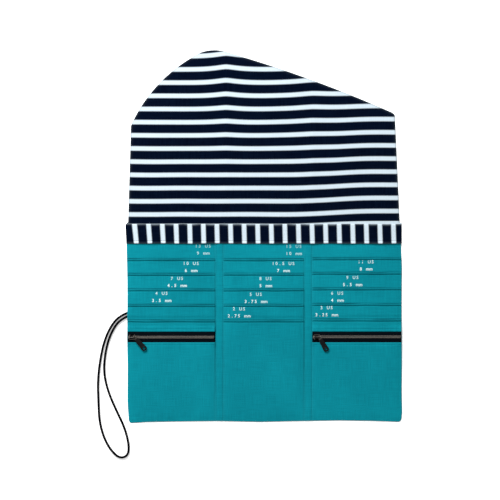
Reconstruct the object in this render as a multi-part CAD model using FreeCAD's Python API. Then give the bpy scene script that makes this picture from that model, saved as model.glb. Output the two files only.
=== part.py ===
"""Fabric case for interchangeable knitting needle tips, open and lying flat.

Frame: +Z up, +X to the right, +Y towards the flap. The origin is on the underside, at the middle
of the case without its elastic cord. All sizes are in millimetres.
"""
import FreeCAD, Part
import math
import os

# ---- widths, from the left edge to the right edge ----
LEFT_PANEL_WIDTH = 113.2
SPINE_WIDTH = 10.3
CENTER_PANEL_WIDTH = 104.0
RIGHT_PANEL_WIDTH = 115.6

# ---- lengths, measured down from the fold line between panels and flap ----
PANEL_LENGTH = 257.2
BAND_DEPTH = 27.0
FIRST_MOUTH = 24.5
MOUTH_SPACING = 20.0
TIER_COUNT = 5
TIER_DEPTH = 96.0
ZIP_DROP = 146.5
ZIP_OPENING = 11.8
RIGHT_COLUMN_LIFT = 1.2
HEM_CORNER = 4.0

# ---- flap outline: insets from the case's side edges, and heights above the fold line ----
FLAP_BASE_INSET = {"left": 1.9, "right": 2.5}
LEFT_SHOULDER = (4.2, 125.3)
APEX_LEFT = (94.7, 219.5)
APEX_RIGHT = (126.4, 220.3)
RIGHT_SHOULDER_TOP = (16.7, 143.8)
RIGHT_SHOULDER_LOW = (8.4, 131.3)
LEFT_SWELL = 11.3
APEX_SWELL = 2.6
RIGHT_SWELL = 3.8
SHOULDER_SWELL = 2.7

# ---- cloth thicknesses ----
OUTER_CLOTH = 0.3
INTERLINING = 0.4
LINING = 0.3
TIER_CLOTH = 0.45
BAND_CLOTH = 0.5
SPINE_STRIP = 0.45
ZIP_TAPE = 0.4
FLAP_BACKING = 0.25
FLAP_INTERLINING = 0.25
FLAP_FACE = 0.25
CLOTH_DRAPE = 2.0

# ---- zip ----
TAPE_REACH = 11.5
CHAIN_HALF_WIDTH = 2.25
CHAIN_SLOT = 0.7
CHAIN_HEIGHT = 0.8
SLIDER_LENGTH = 10.0
SLIDER_HALF_WIDTH = 3.3
SLIDER_FROM_EDGE = 1.0
BOTTOM_PLATE = 0.3
BOTTOM_PLATE_HALF_WIDTH = 2.9
TOP_PLATE = 0.4
SLIDER_CORNER = 1.2
FLANGE_WIDTH = 0.65
SLIDE_GAP = 0.1
POST_WIDTH = 0.44
POST_LENGTH = 3.5
POST_INSET = 0.5
LEVEL_HALF_WIDTH = 4.0

# ---- bridge over the slider, and the pull tab that turns on it ----
BRIDGE_LENGTH = 8.4
BRIDGE_FOOT = 0.8
BRIDGE_FOOT_HALF_WIDTH = 0.6
BRIDGE_BAR_RADIUS = 0.3
KNUCKLE_RADIUS = 0.75
KNUCKLE_BORE_GAP = 0.08
KNUCKLE_LENGTH = 1.8
KNUCKLE_SHIFT = 2.2
PULL_REACH = 20.0
PULL_THICKNESS = 0.6
PULL_ROOT = 2.6
PULL_ROOT_RADIUS = 1.3
PULL_END_RADIUS = 3.6
EYELET_RADIUS = 1.7
EYELET_RIM = 0.6
EYELET_RIM_HEIGHT = 0.1
PULL_CLEARANCE = 0.95
PULL_SLANT = {"left": 49.0, "right": 60.0}

# ---- room between bodies ----
BODY_GAP = 0.4
FOLD_GAP = 0.3

# ---- working values: how far a cutting block stands out, and the least length that counts ----
BEYOND = 10.0
TOUCH = 0.01

# ---- elastic closing cord: a loop whose two ends are caught in the left side seam ----
CORD_DIAMETER = 3.0
CORD_ARC_SHARE = 0.45
CORD_TUCK = 2.0
# Route: x from the left edge of the case, y from the origin.
CORD_ROUTE = [
    (0.0, -99.0),
    (-11.8, -103.2),
    (-23.5, -116.4),
    (-30.9, -136.5),
    (-35.3, -161.0),
    (-38.9, -188.0),
    (-39.1, -214.0),
    (-36.3, -239.0),
    (-29.9, -261.0),
    (-20.5, -278.8),
    (-8.3, -288.8),
    (4.5, -283.4),
    (4.3, -266.0),
    (-2.1, -245.5),
    (-13.3, -224.0),
    (-24.5, -200.5),
    (-30.7, -177.0),
    (-29.7, -154.5),
    (-24.9, -133.5),
    (-17.3, -116.8),
    (-8.9, -107.6),
    (0.0, -103.4),
]

# ---- columns, left to right ----
LEFT_EDGE = -(LEFT_PANEL_WIDTH + RIGHT_PANEL_WIDTH + CENTER_PANEL_WIDTH) / 2 - SPINE_WIDTH
LEFT_SPINE_OUTER = LEFT_EDGE + LEFT_PANEL_WIDTH
LEFT_SPINE_INNER = LEFT_SPINE_OUTER + SPINE_WIDTH
RIGHT_SPINE_INNER = LEFT_SPINE_INNER + CENTER_PANEL_WIDTH
RIGHT_SPINE_OUTER = RIGHT_SPINE_INNER + SPINE_WIDTH
RIGHT_EDGE = RIGHT_SPINE_OUTER + RIGHT_PANEL_WIDTH

BASE_SPANS = {
    "left": (LEFT_EDGE, LEFT_SPINE_OUTER - BODY_GAP / 2),
    "center": (LEFT_SPINE_OUTER + BODY_GAP / 2, RIGHT_SPINE_OUTER - BODY_GAP / 2),
    "right": (RIGHT_SPINE_OUTER + BODY_GAP / 2, RIGHT_EDGE),
}
POCKET_SPANS = {
    "left": BASE_SPANS["left"],
    "center": (LEFT_SPINE_INNER, RIGHT_SPINE_INNER),
    "right": BASE_SPANS["right"],
}
COLUMN_LIFT = {"left": 0.0, "center": 0.0, "right": RIGHT_COLUMN_LIFT}
BASE_TOP = OUTER_CLOTH + INTERLINING + LINING


# ---------------------------------------------------------------- small helpers
def vec(x, y, z=0.0):
    return FreeCAD.Vector(x, y, z)


def box(x_span, y_span, z_span):
    """A block between two x, two y and two z values."""
    size = [high - low for low, high in (x_span, y_span, z_span)]
    return Part.makeBox(*size, vec(x_span[0], y_span[0], z_span[0]))


def across_x(outline, x_span):
    """Push a closed Y-Z outline along X."""
    corners = [vec(x_span[0], y, z) for y, z in outline]
    face = Part.Face(Part.makePolygon(corners + corners[:1]))
    return face.extrude(vec(x_span[1] - x_span[0], 0))


def swollen_arc(start, end, swell):
    """An arc from start to end that stands out to the left of the chord by swell."""
    run_x = end[0] - start[0]
    run_y = end[1] - start[1]
    length = math.hypot(run_x, run_y)
    middle = vec(
        (start[0] + end[0]) / 2 - run_y / length * swell,
        (start[1] + end[1]) / 2 + run_x / length * swell,
    )
    return Part.Arc(vec(*start), middle, vec(*end)).toShape()


def straight(start, end):
    return Part.LineSegment(vec(*start), vec(*end)).toShape()


# ---------------------------------------------------------------- the pile of cloth
class Pile:
    """Top of a pile of cloth along Y, as straight stretches between bends."""

    def __init__(self, low, high, height):
        self.bends = [(low, height), (high, height)]

    def height(self, y):
        for (y_low, z_low), (y_high, z_high) in zip(self.bends, self.bends[1:]):
            if y_low <= y <= y_high:
                return z_low + (z_high - z_low) * (y - y_low) / (y_high - y_low)
        raise ValueError("no cloth under y = %.2f" % y)

    def between(self, low, high):
        """The bends from low to high, both ends included."""
        inner = [(y, z) for y, z in self.bends if low + TOUCH < y < high - TOUCH]
        return [(low, self.height(low))] + inner + [(high, self.height(high))]

    def lift(self, low, high, new_height):
        """Raise the top from low to high, with a short slope down at each side."""
        foot = max(low - CLOTH_DRAPE, self.bends[0][0])
        brow = min(high + CLOTH_DRAPE, self.bends[-1][0])
        rise_low = new_height(self.height(low)) - self.height(low)
        rise_high = new_height(self.height(high)) - self.height(high)
        lifted = [(y, z) for y, z in self.bends if y < foot - TOUCH]
        if foot < low - TOUCH:
            slope = self.between(foot, low)[:-1]
            lifted += [(y, z + rise_low * (y - foot) / (low - foot)) for y, z in slope]
        lifted += [(y, new_height(z)) for y, z in self.between(low, high)]
        if brow > high + TOUCH:
            slope = self.between(high, brow)[1:]
            lifted += [(y, z + rise_high * (brow - y) / (brow - high)) for y, z in slope]
        lifted += [(y, z) for y, z in self.bends if y > brow + TOUCH]
        self.bends = lifted

    def lay(self, low, high, thickness, x_span):
        """Lay one cloth on the pile from low to high and return it as a solid."""
        under = self.between(low, high)
        over = [(y, z + thickness) for y, z in reversed(under)]
        self.lift(low, high, lambda z: z + thickness)
        return across_x(under + over, x_span)

    def level(self, low, high, extra):
        """Make the top flat from low to high, extra above its highest place there."""
        flat = max(z for _, z in self.between(low, high)) + extra
        self.lift(low, high, lambda z: flat)
        return flat


# ---------------------------------------------------------------- flap
def flap_outline():
    """Face of the whole flap, with the fold line at y = 0."""
    base_left = (LEFT_EDGE + FLAP_BASE_INSET["left"], 0.0)
    base_right = (RIGHT_EDGE - FLAP_BASE_INSET["right"], 0.0)
    left_shoulder = (LEFT_EDGE + LEFT_SHOULDER[0], LEFT_SHOULDER[1])
    apex_left = (LEFT_EDGE + APEX_LEFT[0], APEX_LEFT[1])
    apex_right = (LEFT_EDGE + APEX_RIGHT[0], APEX_RIGHT[1])
    shoulder_top = (RIGHT_EDGE - RIGHT_SHOULDER_TOP[0], RIGHT_SHOULDER_TOP[1])
    shoulder_low = (RIGHT_EDGE - RIGHT_SHOULDER_LOW[0], RIGHT_SHOULDER_LOW[1])
    edges = [
        straight(base_left, left_shoulder),
        swollen_arc(left_shoulder, apex_left, LEFT_SWELL),
        swollen_arc(apex_left, apex_right, APEX_SWELL),
        swollen_arc(apex_right, shoulder_top, RIGHT_SWELL),
        swollen_arc(shoulder_top, shoulder_low, SHOULDER_SWELL),
        straight(shoulder_low, base_right),
        straight(base_right, base_left),
    ]
    return Part.Face(Part.Wire(edges))


FLAP_REACH = flap_outline().BoundBox.YMax
FOLD_Y = (PANEL_LENGTH - FLAP_REACH) / 2
HEM_Y = FOLD_Y - PANEL_LENGTH
ZIP_Y = FOLD_Y - ZIP_DROP


def flap_layer(side, bottom, thickness):
    """One cloth layer of the left, center or right part of the flap."""
    whole = flap_outline().extrude(vec(0, 0, thickness))
    whole.translate(vec(0, FOLD_Y, bottom))
    x_low, x_high = BASE_SPANS[side]
    y_span = (FOLD_Y + BODY_GAP, FOLD_Y + FLAP_REACH + BEYOND)
    return whole.common(box((x_low, x_high), y_span, (-BEYOND, BEYOND))).Solids[0]


def flap(side):
    """The three layers of one part of the flap, from the table upwards."""
    face_bottom = FLAP_BACKING + FLAP_INTERLINING
    return {
        side + "_flap_backing": flap_layer(side, 0.0, FLAP_BACKING),
        side + "_flap_interlining": flap_layer(side, FLAP_BACKING, FLAP_INTERLINING),
        side + "_flap_face": flap_layer(side, face_bottom, FLAP_FACE),
    }


# ---------------------------------------------------------------- panels
def panel_blank(side, thickness):
    """Flat cloth in the outline of one panel, its outer hem corner rounded."""
    x_low, x_high = BASE_SPANS[side]
    blank = box((x_low, x_high), (HEM_Y, FOLD_Y), (0.0, thickness))
    outer_edge = {"left": LEFT_EDGE, "right": RIGHT_EDGE}.get(side)
    if outer_edge is None:
        return blank
    corner = [
        edge
        for edge in blank.Edges
        if abs(edge.BoundBox.XMin - outer_edge) < TOUCH
        and abs(edge.BoundBox.XMax - outer_edge) < TOUCH
        and abs(edge.BoundBox.YMax - HEM_Y) < TOUCH
    ]
    return blank.makeFillet(HEM_CORNER, corner)


def base_layers(side):
    """Outer cloth, interlining and lining of one panel."""
    layers = {}
    bottom = 0.0
    for name, thickness in (
        ("outer_cloth", OUTER_CLOTH),
        ("interlining", INTERLINING),
        ("lining", LINING),
    ):
        layer = panel_blank(side, thickness)
        layer.translate(vec(0, 0, bottom))
        layers[side + "_" + name] = layer
        bottom += thickness
    return layers


def mouth_y(side, row):
    """Height of the folded edge of pocket row 0, 1, 2... of one column."""
    return FOLD_Y - FIRST_MOUTH - row * MOUTH_SPACING + COLUMN_LIFT[side]


def tiers(side, pile):
    """The stepped pocket strips, each lying on the ones above it."""
    strips = {}
    for row in range(TIER_COUNT):
        mouth = mouth_y(side, row)
        strip = pile.lay(mouth - TIER_DEPTH, mouth, TIER_CLOTH, POCKET_SPANS[side])
        strips["%s_tier_%d" % (side, row + 1)] = strip
    return strips


def trimmed_to_panel(side, cloth):
    """Cut a hem piece to the rounded corner of its panel."""
    return cloth.common(panel_blank(side, BEYOND)).Solids[0]


def center_front_pocket(pile):
    mouth = mouth_y("center", TIER_COUNT)
    pocket = pile.lay(HEM_Y, mouth, TIER_CLOTH, POCKET_SPANS["center"])
    return {"center_front_pocket": pocket}


def zip_panel(side, pile):
    """Both zip tapes with their rows of coil, and the cloth above and below the zip."""
    x_span = POCKET_SPANS[side]
    level = pile.level(
        ZIP_Y - LEVEL_HALF_WIDTH, ZIP_Y + LEVEL_HALF_WIDTH, BOTTOM_PLATE + 2 * SLIDE_GAP
    )
    inner = CHAIN_SLOT / 2
    outer = CHAIN_HALF_WIDTH
    heights = (level, level + CHAIN_HEIGHT)
    pieces = {
        side + "_coil_upper": box(x_span, (ZIP_Y + inner, ZIP_Y + outer), heights),
        side + "_coil_lower": box(x_span, (ZIP_Y - outer, ZIP_Y - inner), heights),
        side + "_tape_upper": pile.lay(ZIP_Y + outer, ZIP_Y + TAPE_REACH, ZIP_TAPE, x_span),
        side + "_tape_lower": pile.lay(ZIP_Y - TAPE_REACH, ZIP_Y - outer, ZIP_TAPE, x_span),
    }
    mouth = mouth_y(side, TIER_COUNT)
    pieces[side + "_zip_facing"] = pile.lay(ZIP_Y + ZIP_OPENING / 2, mouth, TIER_CLOTH, x_span)
    pocket = pile.lay(HEM_Y, ZIP_Y - ZIP_OPENING / 2, TIER_CLOTH, x_span)
    pieces[side + "_zip_pocket"] = trimmed_to_panel(side, pocket)
    return pieces, level


def spine_strip(x_span):
    """Strip of cloth sewn flat over a fold of the case, from the hem to the fold line."""
    return box(x_span, (HEM_Y, FOLD_Y), (BASE_TOP, BASE_TOP + SPINE_STRIP))


def band(side, pile):
    """Striped band that hangs from the fold line over the first pocket mouth and the spines."""
    low_edge = FOLD_Y - BAND_DEPTH
    bottom = max(pile.level(low_edge, FOLD_Y, 0.0), BASE_TOP + SPINE_STRIP)
    return box(BASE_SPANS[side], (low_edge, FOLD_Y), (bottom, bottom + BAND_CLOTH))


# ---------------------------------------------------------------- zip slider and pull
def slider_middle(side):
    return POCKET_SPANS[side][0] + SLIDER_FROM_EDGE + SLIDER_LENGTH / 2


def plate(x_middle, half_width, z_span):
    """Slider plate with rounded ends."""
    half = SLIDER_LENGTH / 2
    blank = box((x_middle - half, x_middle + half), (ZIP_Y - half_width, ZIP_Y + half_width), z_span)
    upright = [edge for edge in blank.Edges if edge.BoundBox.ZLength > TOUCH]
    return blank.makeFillet(SLIDER_CORNER, upright)


def slider(side, level):
    """Slider body: two plates joined by a post, flanges over the tapes, and the bridge on top."""
    x = slider_middle(side)
    half = SLIDER_LENGTH / 2
    plate_bottom = level + CHAIN_HEIGHT + SLIDE_GAP
    plate_top = plate_bottom + TOP_PLATE
    pivot_z = plate_top + SLIDE_GAP + KNUCKLE_RADIUS
    low_plate = (level - SLIDE_GAP - BOTTOM_PLATE, level - SLIDE_GAP)
    body = plate(x, SLIDER_HALF_WIDTH, (plate_bottom, plate_top))
    body = body.fuse(plate(x, BOTTOM_PLATE_HALF_WIDTH, low_plate))
    post_x = (x - half + POST_INSET, x - half + POST_INSET + POST_LENGTH)
    post_y = (ZIP_Y - POST_WIDTH / 2, ZIP_Y + POST_WIDTH / 2)
    body = body.fuse(box(post_x, post_y, (low_plate[0], plate_top)))
    flange_x = (x - half + SLIDER_CORNER, x + half - SLIDER_CORNER)
    flange_z = (level + ZIP_TAPE + SLIDE_GAP, plate_top)
    for way in (-1, 1):
        edges = sorted((way * SLIDER_HALF_WIDTH, way * (SLIDER_HALF_WIDTH - FLANGE_WIDTH)))
        flange_y = (ZIP_Y + edges[0], ZIP_Y + edges[1])
        body = body.fuse(box(flange_x, flange_y, flange_z))
    foot_y = (ZIP_Y - BRIDGE_FOOT_HALF_WIDTH, ZIP_Y + BRIDGE_FOOT_HALF_WIDTH)
    for way in (-1, 1):
        ends = sorted((way * BRIDGE_LENGTH / 2, way * (BRIDGE_LENGTH / 2 - BRIDGE_FOOT)))
        foot_x = (x + ends[0], x + ends[1])
        body = body.fuse(box(foot_x, foot_y, (plate_bottom, pivot_z + BRIDGE_BAR_RADIUS)))
    bar_length = BRIDGE_LENGTH - BRIDGE_FOOT
    bar_start = vec(x - bar_length / 2, ZIP_Y, pivot_z)
    bar = Part.makeCylinder(BRIDGE_BAR_RADIUS, bar_length, bar_start, vec(1, 0, 0))
    return body.fuse(bar).removeSplitter().Solids[0], pivot_z


def pull_outline():
    """Flat drop shape along +X from the pivot at the origin: narrow root, round end."""
    spread = PULL_REACH - PULL_ROOT
    lean = (PULL_END_RADIUS - PULL_ROOT_RADIUS) / spread
    rise = math.sqrt(1 - lean * lean)
    root_up = (PULL_ROOT - lean * PULL_ROOT_RADIUS, rise * PULL_ROOT_RADIUS)
    end_up = (PULL_REACH - lean * PULL_END_RADIUS, rise * PULL_END_RADIUS)
    root_down = (root_up[0], -root_up[1])
    end_down = (end_up[0], -end_up[1])
    tip = vec(PULL_REACH + PULL_END_RADIUS, 0)
    heel = vec(PULL_ROOT - PULL_ROOT_RADIUS, 0)
    edges = [
        straight(root_up, end_up),
        Part.Arc(vec(*end_up), tip, vec(*end_down)).toShape(),
        straight(end_down, root_down),
        Part.Arc(vec(*root_down), heel, vec(*root_up)).toShape(),
    ]
    return Part.Face(Part.Wire(edges))


def pull(side, pivot_z):
    """Pull tab: a flat drop with an eyelet, on a knuckle that turns round the bridge."""
    tab = pull_outline().extrude(vec(0, 0, PULL_THICKNESS))
    tab.translate(vec(0, 0, -PULL_THICKNESS / 2))
    rim_height = PULL_THICKNESS + 2 * EYELET_RIM_HEIGHT
    rim_low = vec(PULL_REACH, 0, -rim_height / 2)
    tab = tab.fuse(Part.makeCylinder(EYELET_RADIUS + EYELET_RIM, rim_height, rim_low))
    tab = tab.cut(Part.makeCylinder(EYELET_RADIUS, rim_height, rim_low))
    tab.rotate(vec(0, 0), vec(0, 0, 1), -PULL_SLANT[side])
    half = KNUCKLE_LENGTH / 2
    neck_z = (-PULL_THICKNESS / 2, PULL_THICKNESS / 2)
    tab = tab.fuse(box((-half, half), (-PULL_ROOT, 0.0), neck_z))
    for x_span in ((-PULL_REACH, -half), (half, PULL_REACH)):
        tab = tab.cut(box(x_span, (-PULL_CLEARANCE, PULL_CLEARANCE), (-BEYOND, BEYOND)))
    knuckle = Part.makeCylinder(KNUCKLE_RADIUS, KNUCKLE_LENGTH, vec(-half, 0), vec(1, 0, 0))
    bore_radius = BRIDGE_BAR_RADIUS + KNUCKLE_BORE_GAP
    bore = Part.makeCylinder(bore_radius, 2 * KNUCKLE_LENGTH, vec(-KNUCKLE_LENGTH, 0), vec(1, 0, 0))
    whole = tab.fuse(knuckle).cut(bore).removeSplitter().Solids[0]
    whole.translate(vec(slider_middle(side) + KNUCKLE_SHIFT, ZIP_Y, pivot_z))
    return whole


# ---------------------------------------------------------------- elastic cord
def cord_path(points):
    """Straight runs joined by tangent arcs, and the smallest arc radius."""
    edges = []
    start = points[0]
    radii = []
    for before, corner, after in zip(points, points[1:], points[2:]):
        back = before.sub(corner)
        ahead = after.sub(corner)
        turn = math.pi - back.getAngle(ahead)
        cut = CORD_ARC_SHARE * min(back.Length, ahead.Length)
        radius = cut / math.tan(turn / 2)
        into = corner.add(back.normalize().multiply(cut))
        out = corner.add(ahead.normalize().multiply(cut))
        towards_centre = back.add(ahead).normalize()
        mid_gap = radius / math.cos(turn / 2) - radius
        middle = corner.add(towards_centre.multiply(mid_gap))
        edges.append(Part.LineSegment(start, into).toShape())
        edges.append(Part.Arc(into, middle, out).toShape())
        start = out
        radii.append(radius)
    edges.append(Part.LineSegment(start, points[-1]).toShape())
    return Part.Wire(edges), radii


def elastic_cord():
    """The cord's tube, its ends cut off flush with the side of the left panel."""
    radius = CORD_DIAMETER / 2
    route = [vec(LEFT_EDGE + x, y, radius) for x, y in CORD_ROUTE]
    first_run = route[1].sub(route[0]).normalize()
    last_run = route[-2].sub(route[-1]).normalize()
    route[0] = route[0].sub(first_run.multiply(CORD_TUCK))
    route[-1] = route[-1].sub(last_run.multiply(CORD_TUCK))
    path, radii = cord_path(route)
    heading = route[1].sub(route[0])
    section = Part.Wire([Part.makeCircle(radius, route[0], heading)])
    tube = path.makePipeShell([section], True, False)
    panel = box((LEFT_EDGE, LEFT_EDGE + BEYOND), (HEM_Y, FOLD_Y), (-BEYOND, BEYOND))
    expected = math.pi * radius**2 * path.Length
    print("cord length %.1f, volume over section x length %.4f" % (path.Length, tube.Volume / expected))
    print("cord radii", " ".join("%.1f" % bend for bend in radii))
    return tube.cut(panel).Solids[0]


# ---------------------------------------------------------------- the whole case
def build():
    nodes = {}
    tops = []
    for side in ("left", "center", "right"):
        nodes.update(base_layers(side))
        pile = Pile(HEM_Y, FOLD_Y, BASE_TOP)
        nodes.update(tiers(side, pile))
        if side == "center":
            nodes.update(center_front_pocket(pile))
        else:
            pieces, level = zip_panel(side, pile)
            nodes.update(pieces)
            nodes[side + "_slider"], pivot_z = slider(side, level)
            nodes[side + "_pull"] = pull(side, pivot_z)
            tops.append(nodes[side + "_pull"].BoundBox.ZMax)
            print("%s pull pivot x %.3f z %.3f" % (side, slider_middle(side) + KNUCKLE_SHIFT, pivot_z))
        nodes[side + "_band"] = band(side, pile)
        nodes.update(flap(side))
        tops.append(max(z for _, z in pile.bends))
    spine_low = LEFT_SPINE_OUTER + BODY_GAP / 2
    spine_high = RIGHT_SPINE_OUTER - BODY_GAP / 2
    nodes["left_spine_strip"] = spine_strip((spine_low, LEFT_SPINE_INNER))
    nodes["right_spine_strip"] = spine_strip((RIGHT_SPINE_INNER, spine_high))
    nodes["elastic_cord"] = elastic_cord()
    print_fold_axes(max(tops))
    return nodes


def print_fold_axes(pile_top):
    """Where the folds turn, so that each folded part lies just above what it covers."""
    flap_thickness = FLAP_BACKING + FLAP_INTERLINING + FLAP_FACE
    flap_axis = (pile_top + FOLD_GAP + flap_thickness) / 2
    closed = 2 * flap_axis
    right_axis = closed + FOLD_GAP / 2
    left_axis = (2 * right_axis + FOLD_GAP + closed) / 2
    print("fold line y %.3f, hem y %.3f, zip y %.3f" % (FOLD_Y, HEM_Y, ZIP_Y))
    print("pile top %.3f, flap axis z %.3f" % (pile_top, flap_axis))
    right_x = (RIGHT_SPINE_INNER + RIGHT_SPINE_OUTER) / 2
    left_x = (LEFT_SPINE_INNER + LEFT_SPINE_OUTER) / 2
    print("right axis x %.3f z %.3f" % (right_x, right_axis))
    print("left axis x %.3f z %.3f, closed height %.3f" % (left_x, left_axis, 2 * left_axis))


os.makedirs("parts", exist_ok=True)
for node, shape in build().items():
    if not shape.isValid():
        print("not valid:", node)
    shape.exportStep("parts/%s.step" % node)
    print("%-26s volume %10.2f" % (node, shape.Volume))
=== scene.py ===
# %% [markdown]
# # A cloth case for interchangeable knitting needle tips
# The case lies open: three pocket panels side by side, a striped flap above them, two zipped
# pockets and an elastic closing cord. The measured model comes first, as a fixed frame.
# Everything after this cell is the look of it: cloth, thread, metal and print.

# %% Load the measured model
import math
import bmesh
import bpy
import numpy as np
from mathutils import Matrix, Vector


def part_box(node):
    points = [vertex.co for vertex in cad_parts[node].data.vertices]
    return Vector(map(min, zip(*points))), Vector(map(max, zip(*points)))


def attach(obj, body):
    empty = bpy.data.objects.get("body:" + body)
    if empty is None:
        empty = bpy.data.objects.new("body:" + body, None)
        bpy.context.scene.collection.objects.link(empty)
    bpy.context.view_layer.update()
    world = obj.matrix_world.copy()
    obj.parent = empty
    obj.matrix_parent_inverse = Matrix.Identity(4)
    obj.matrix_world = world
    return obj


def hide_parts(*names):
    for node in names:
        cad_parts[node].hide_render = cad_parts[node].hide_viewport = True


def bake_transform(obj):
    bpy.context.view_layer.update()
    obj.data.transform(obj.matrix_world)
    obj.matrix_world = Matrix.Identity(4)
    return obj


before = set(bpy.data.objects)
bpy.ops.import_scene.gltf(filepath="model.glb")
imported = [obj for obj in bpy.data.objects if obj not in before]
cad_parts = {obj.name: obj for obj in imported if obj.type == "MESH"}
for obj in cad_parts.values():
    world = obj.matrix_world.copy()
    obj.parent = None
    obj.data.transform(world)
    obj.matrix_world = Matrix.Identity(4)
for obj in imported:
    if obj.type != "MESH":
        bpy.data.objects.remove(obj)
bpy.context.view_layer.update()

scene = bpy.context.scene

# %% [markdown]
# ## The camera
# The case is seen from straight above, as cut cloth is on a table. A long lens keeps the edges
# from leaning outwards. A wide lens close by would show the sides of the pockets.

# %% Camera
MM = 0.001
VIEW_CENTRE = Vector((-18.9, -18.0, 0.0)) * MM
VIEW_WIDTH = 645 * MM
LENS = 120.0
SENSOR = 36.0


def look_down(centre, width):
    """A camera high above centre that sees width from side to side."""
    data = bpy.data.cameras.new("overhead")
    data.lens = LENS
    data.sensor_width = SENSOR
    camera = bpy.data.objects.new("overhead", data)
    camera.location = centre + Vector((0, 0, width * LENS / SENSOR))
    data.clip_end = 20.0
    scene.collection.objects.link(camera)
    return camera


scene.camera = look_down(VIEW_CENTRE, VIEW_WIDTH)
print("camera height %.2f m" % scene.camera.location.z)

# %% [markdown]
# ## Small tools
# Every finish below is a short chain of shader nodes, so a few functions make the common links:
# join or set a socket, add a sum, a noise, a blend of two colours or a bump.

# %% Helpers for objects and finishes
def put(name, data):
    """A new object in the scene, at the origin."""
    made = bpy.data.objects.new(name, data)
    scene.collection.objects.link(made)
    return made


def new_material(name, roughness, gloss):
    """An empty finish: its node tree and its shader."""
    material = bpy.data.materials.new(name)
    material.use_nodes = True
    shader = material.node_tree.nodes["Principled BSDF"]
    shader.inputs["Roughness"].default_value = roughness
    shader.inputs["Specular IOR Level"].default_value = gloss
    return material, material.node_tree, shader


def feed(tree, socket, value):
    """Join a socket to another one, or set its value."""
    if isinstance(value, bpy.types.NodeSocket):
        tree.links.new(value, socket)
    else:
        socket.default_value = value


def sum_node(tree, operation, *values):
    node = tree.nodes.new("ShaderNodeMath")
    node.operation = operation
    for socket, value in zip(node.inputs, values):
        feed(tree, socket, value)
    return node.outputs[0]


def weave_map(tree):
    """The two thread directions of the cloth: the map itself, across and along."""
    source = tree.nodes.new("ShaderNodeUVMap")
    source.uv_map = "weave"
    parts = tree.nodes.new("ShaderNodeSeparateXYZ")
    feed(tree, parts.inputs[0], source.outputs[0])
    return source.outputs[0], parts.outputs[0], parts.outputs[1]


def carried(tree, label):
    """A value that the mesh itself carries at each point."""
    node = tree.nodes.new("ShaderNodeAttribute")
    node.attribute_name = label
    return node.outputs["Fac"]


def noise(tree, place, stretch, detail=2.0):
    """Noise from 0 to 1 over a place, stretched by its own scale in each direction."""
    turn = tree.nodes.new("ShaderNodeMapping")
    turn.inputs["Scale"].default_value = stretch
    feed(tree, turn.inputs["Vector"], place)
    cloud = tree.nodes.new("ShaderNodeTexNoise")
    cloud.inputs["Scale"].default_value = 1.0
    cloud.inputs["Detail"].default_value = detail
    feed(tree, cloud.inputs["Vector"], turn.outputs[0])
    return cloud.outputs["Fac"]


def blend_colour(tree, share, first, second):
    mix = tree.nodes.new("ShaderNodeMix")
    mix.data_type = "RGBA"
    feed(tree, mix.inputs["Factor"], share)
    feed(tree, mix.inputs["A"], first)
    feed(tree, mix.inputs["B"], second)
    return mix.outputs["Result"]


def map_range(tree, value, low, high, to_low=0.0, to_high=1.0):
    node = tree.nodes.new("ShaderNodeMapRange")
    node.interpolation_type = "SMOOTHSTEP"
    for socket, given in zip(node.inputs, (value, low, high, to_low, to_high)):
        feed(tree, socket, given)
    return node.outputs[0]


def bump(tree, shader, height, distance, strength=1.0):
    node = tree.nodes.new("ShaderNodeBump")
    node.inputs["Strength"].default_value = strength
    node.inputs["Distance"].default_value = distance
    feed(tree, node.inputs["Height"], height)
    feed(tree, shader.inputs["Normal"], node.outputs[0])


def crossing_threads(tree, across, along, pitch):
    """Height of a plain weave: threads go over and under each other, from 0 to 1."""
    turns = 2 * math.pi / pitch
    one = sum_node(tree, "SINE", sum_node(tree, "MULTIPLY", across, turns))
    other = sum_node(tree, "SINE", sum_node(tree, "MULTIPLY", along, turns))
    crossing = sum_node(tree, "MULTIPLY", one, other)
    return sum_node(tree, "MULTIPLY_ADD", crossing, 0.5, 0.5)


def thread_streaks(tree, place):
    """Uneven threads both ways, from 0 to 1: long thin streaks across and along."""
    across = noise(tree, place, (1700, 45, 1))
    along = noise(tree, place, (45, 1700, 1))
    return sum_node(tree, "MULTIPLY_ADD", sum_node(tree, "ADD", across, along), 0.5, 0.0)


print("helpers ready")

# %% [markdown]
# ## The elastic cord
# A round black elastic, 3 mm thick, is caught in the left side seam at both ends, so it makes a
# loop that holds the rolled case shut. Here it lies slack on the table. Its route is one smooth
# spline through listed control points. The braid is a fine diagonal pattern on the cord's
# own length and girth.

# %% Elastic cord
CORD_DIAMETER = 3.0
SIDE_X = -176.7
CORD_ROUTE = [
    (0.0, -99.0),
    (-10.5, -103.0),
    (-21.8, -116.4),
    (-30.5, -136.5),
    (-35.7, -161.0),
    (-38.5, -188.0),
    (-37.6, -214.0),
    (-36.5, -239.0),
    (-30.3, -261.0),
    (-20.5, -277.6),
    (-9.3, -287.0),
    (1.4, -282.2),
    (1.2, -265.5),
    (-4.5, -245.5),
    (-14.9, -224.0),
    (-25.2, -200.5),
    (-30.7, -177.0),
    (-29.5, -154.5),
    (-24.7, -133.5),
    (-16.8, -116.8),
    (-8.6, -107.6),
    (0.0, -103.4),
]
BRAID_ALONG = 150.0
BRAID_AROUND = 8.0
BRAID_RAISE = 0.00025
ELASTIC_BLACK = (0.0028, 0.0030, 0.0040, 1)
ELASTIC_SHEEN = (0.0030, 0.0032, 0.0040, 1)


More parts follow.
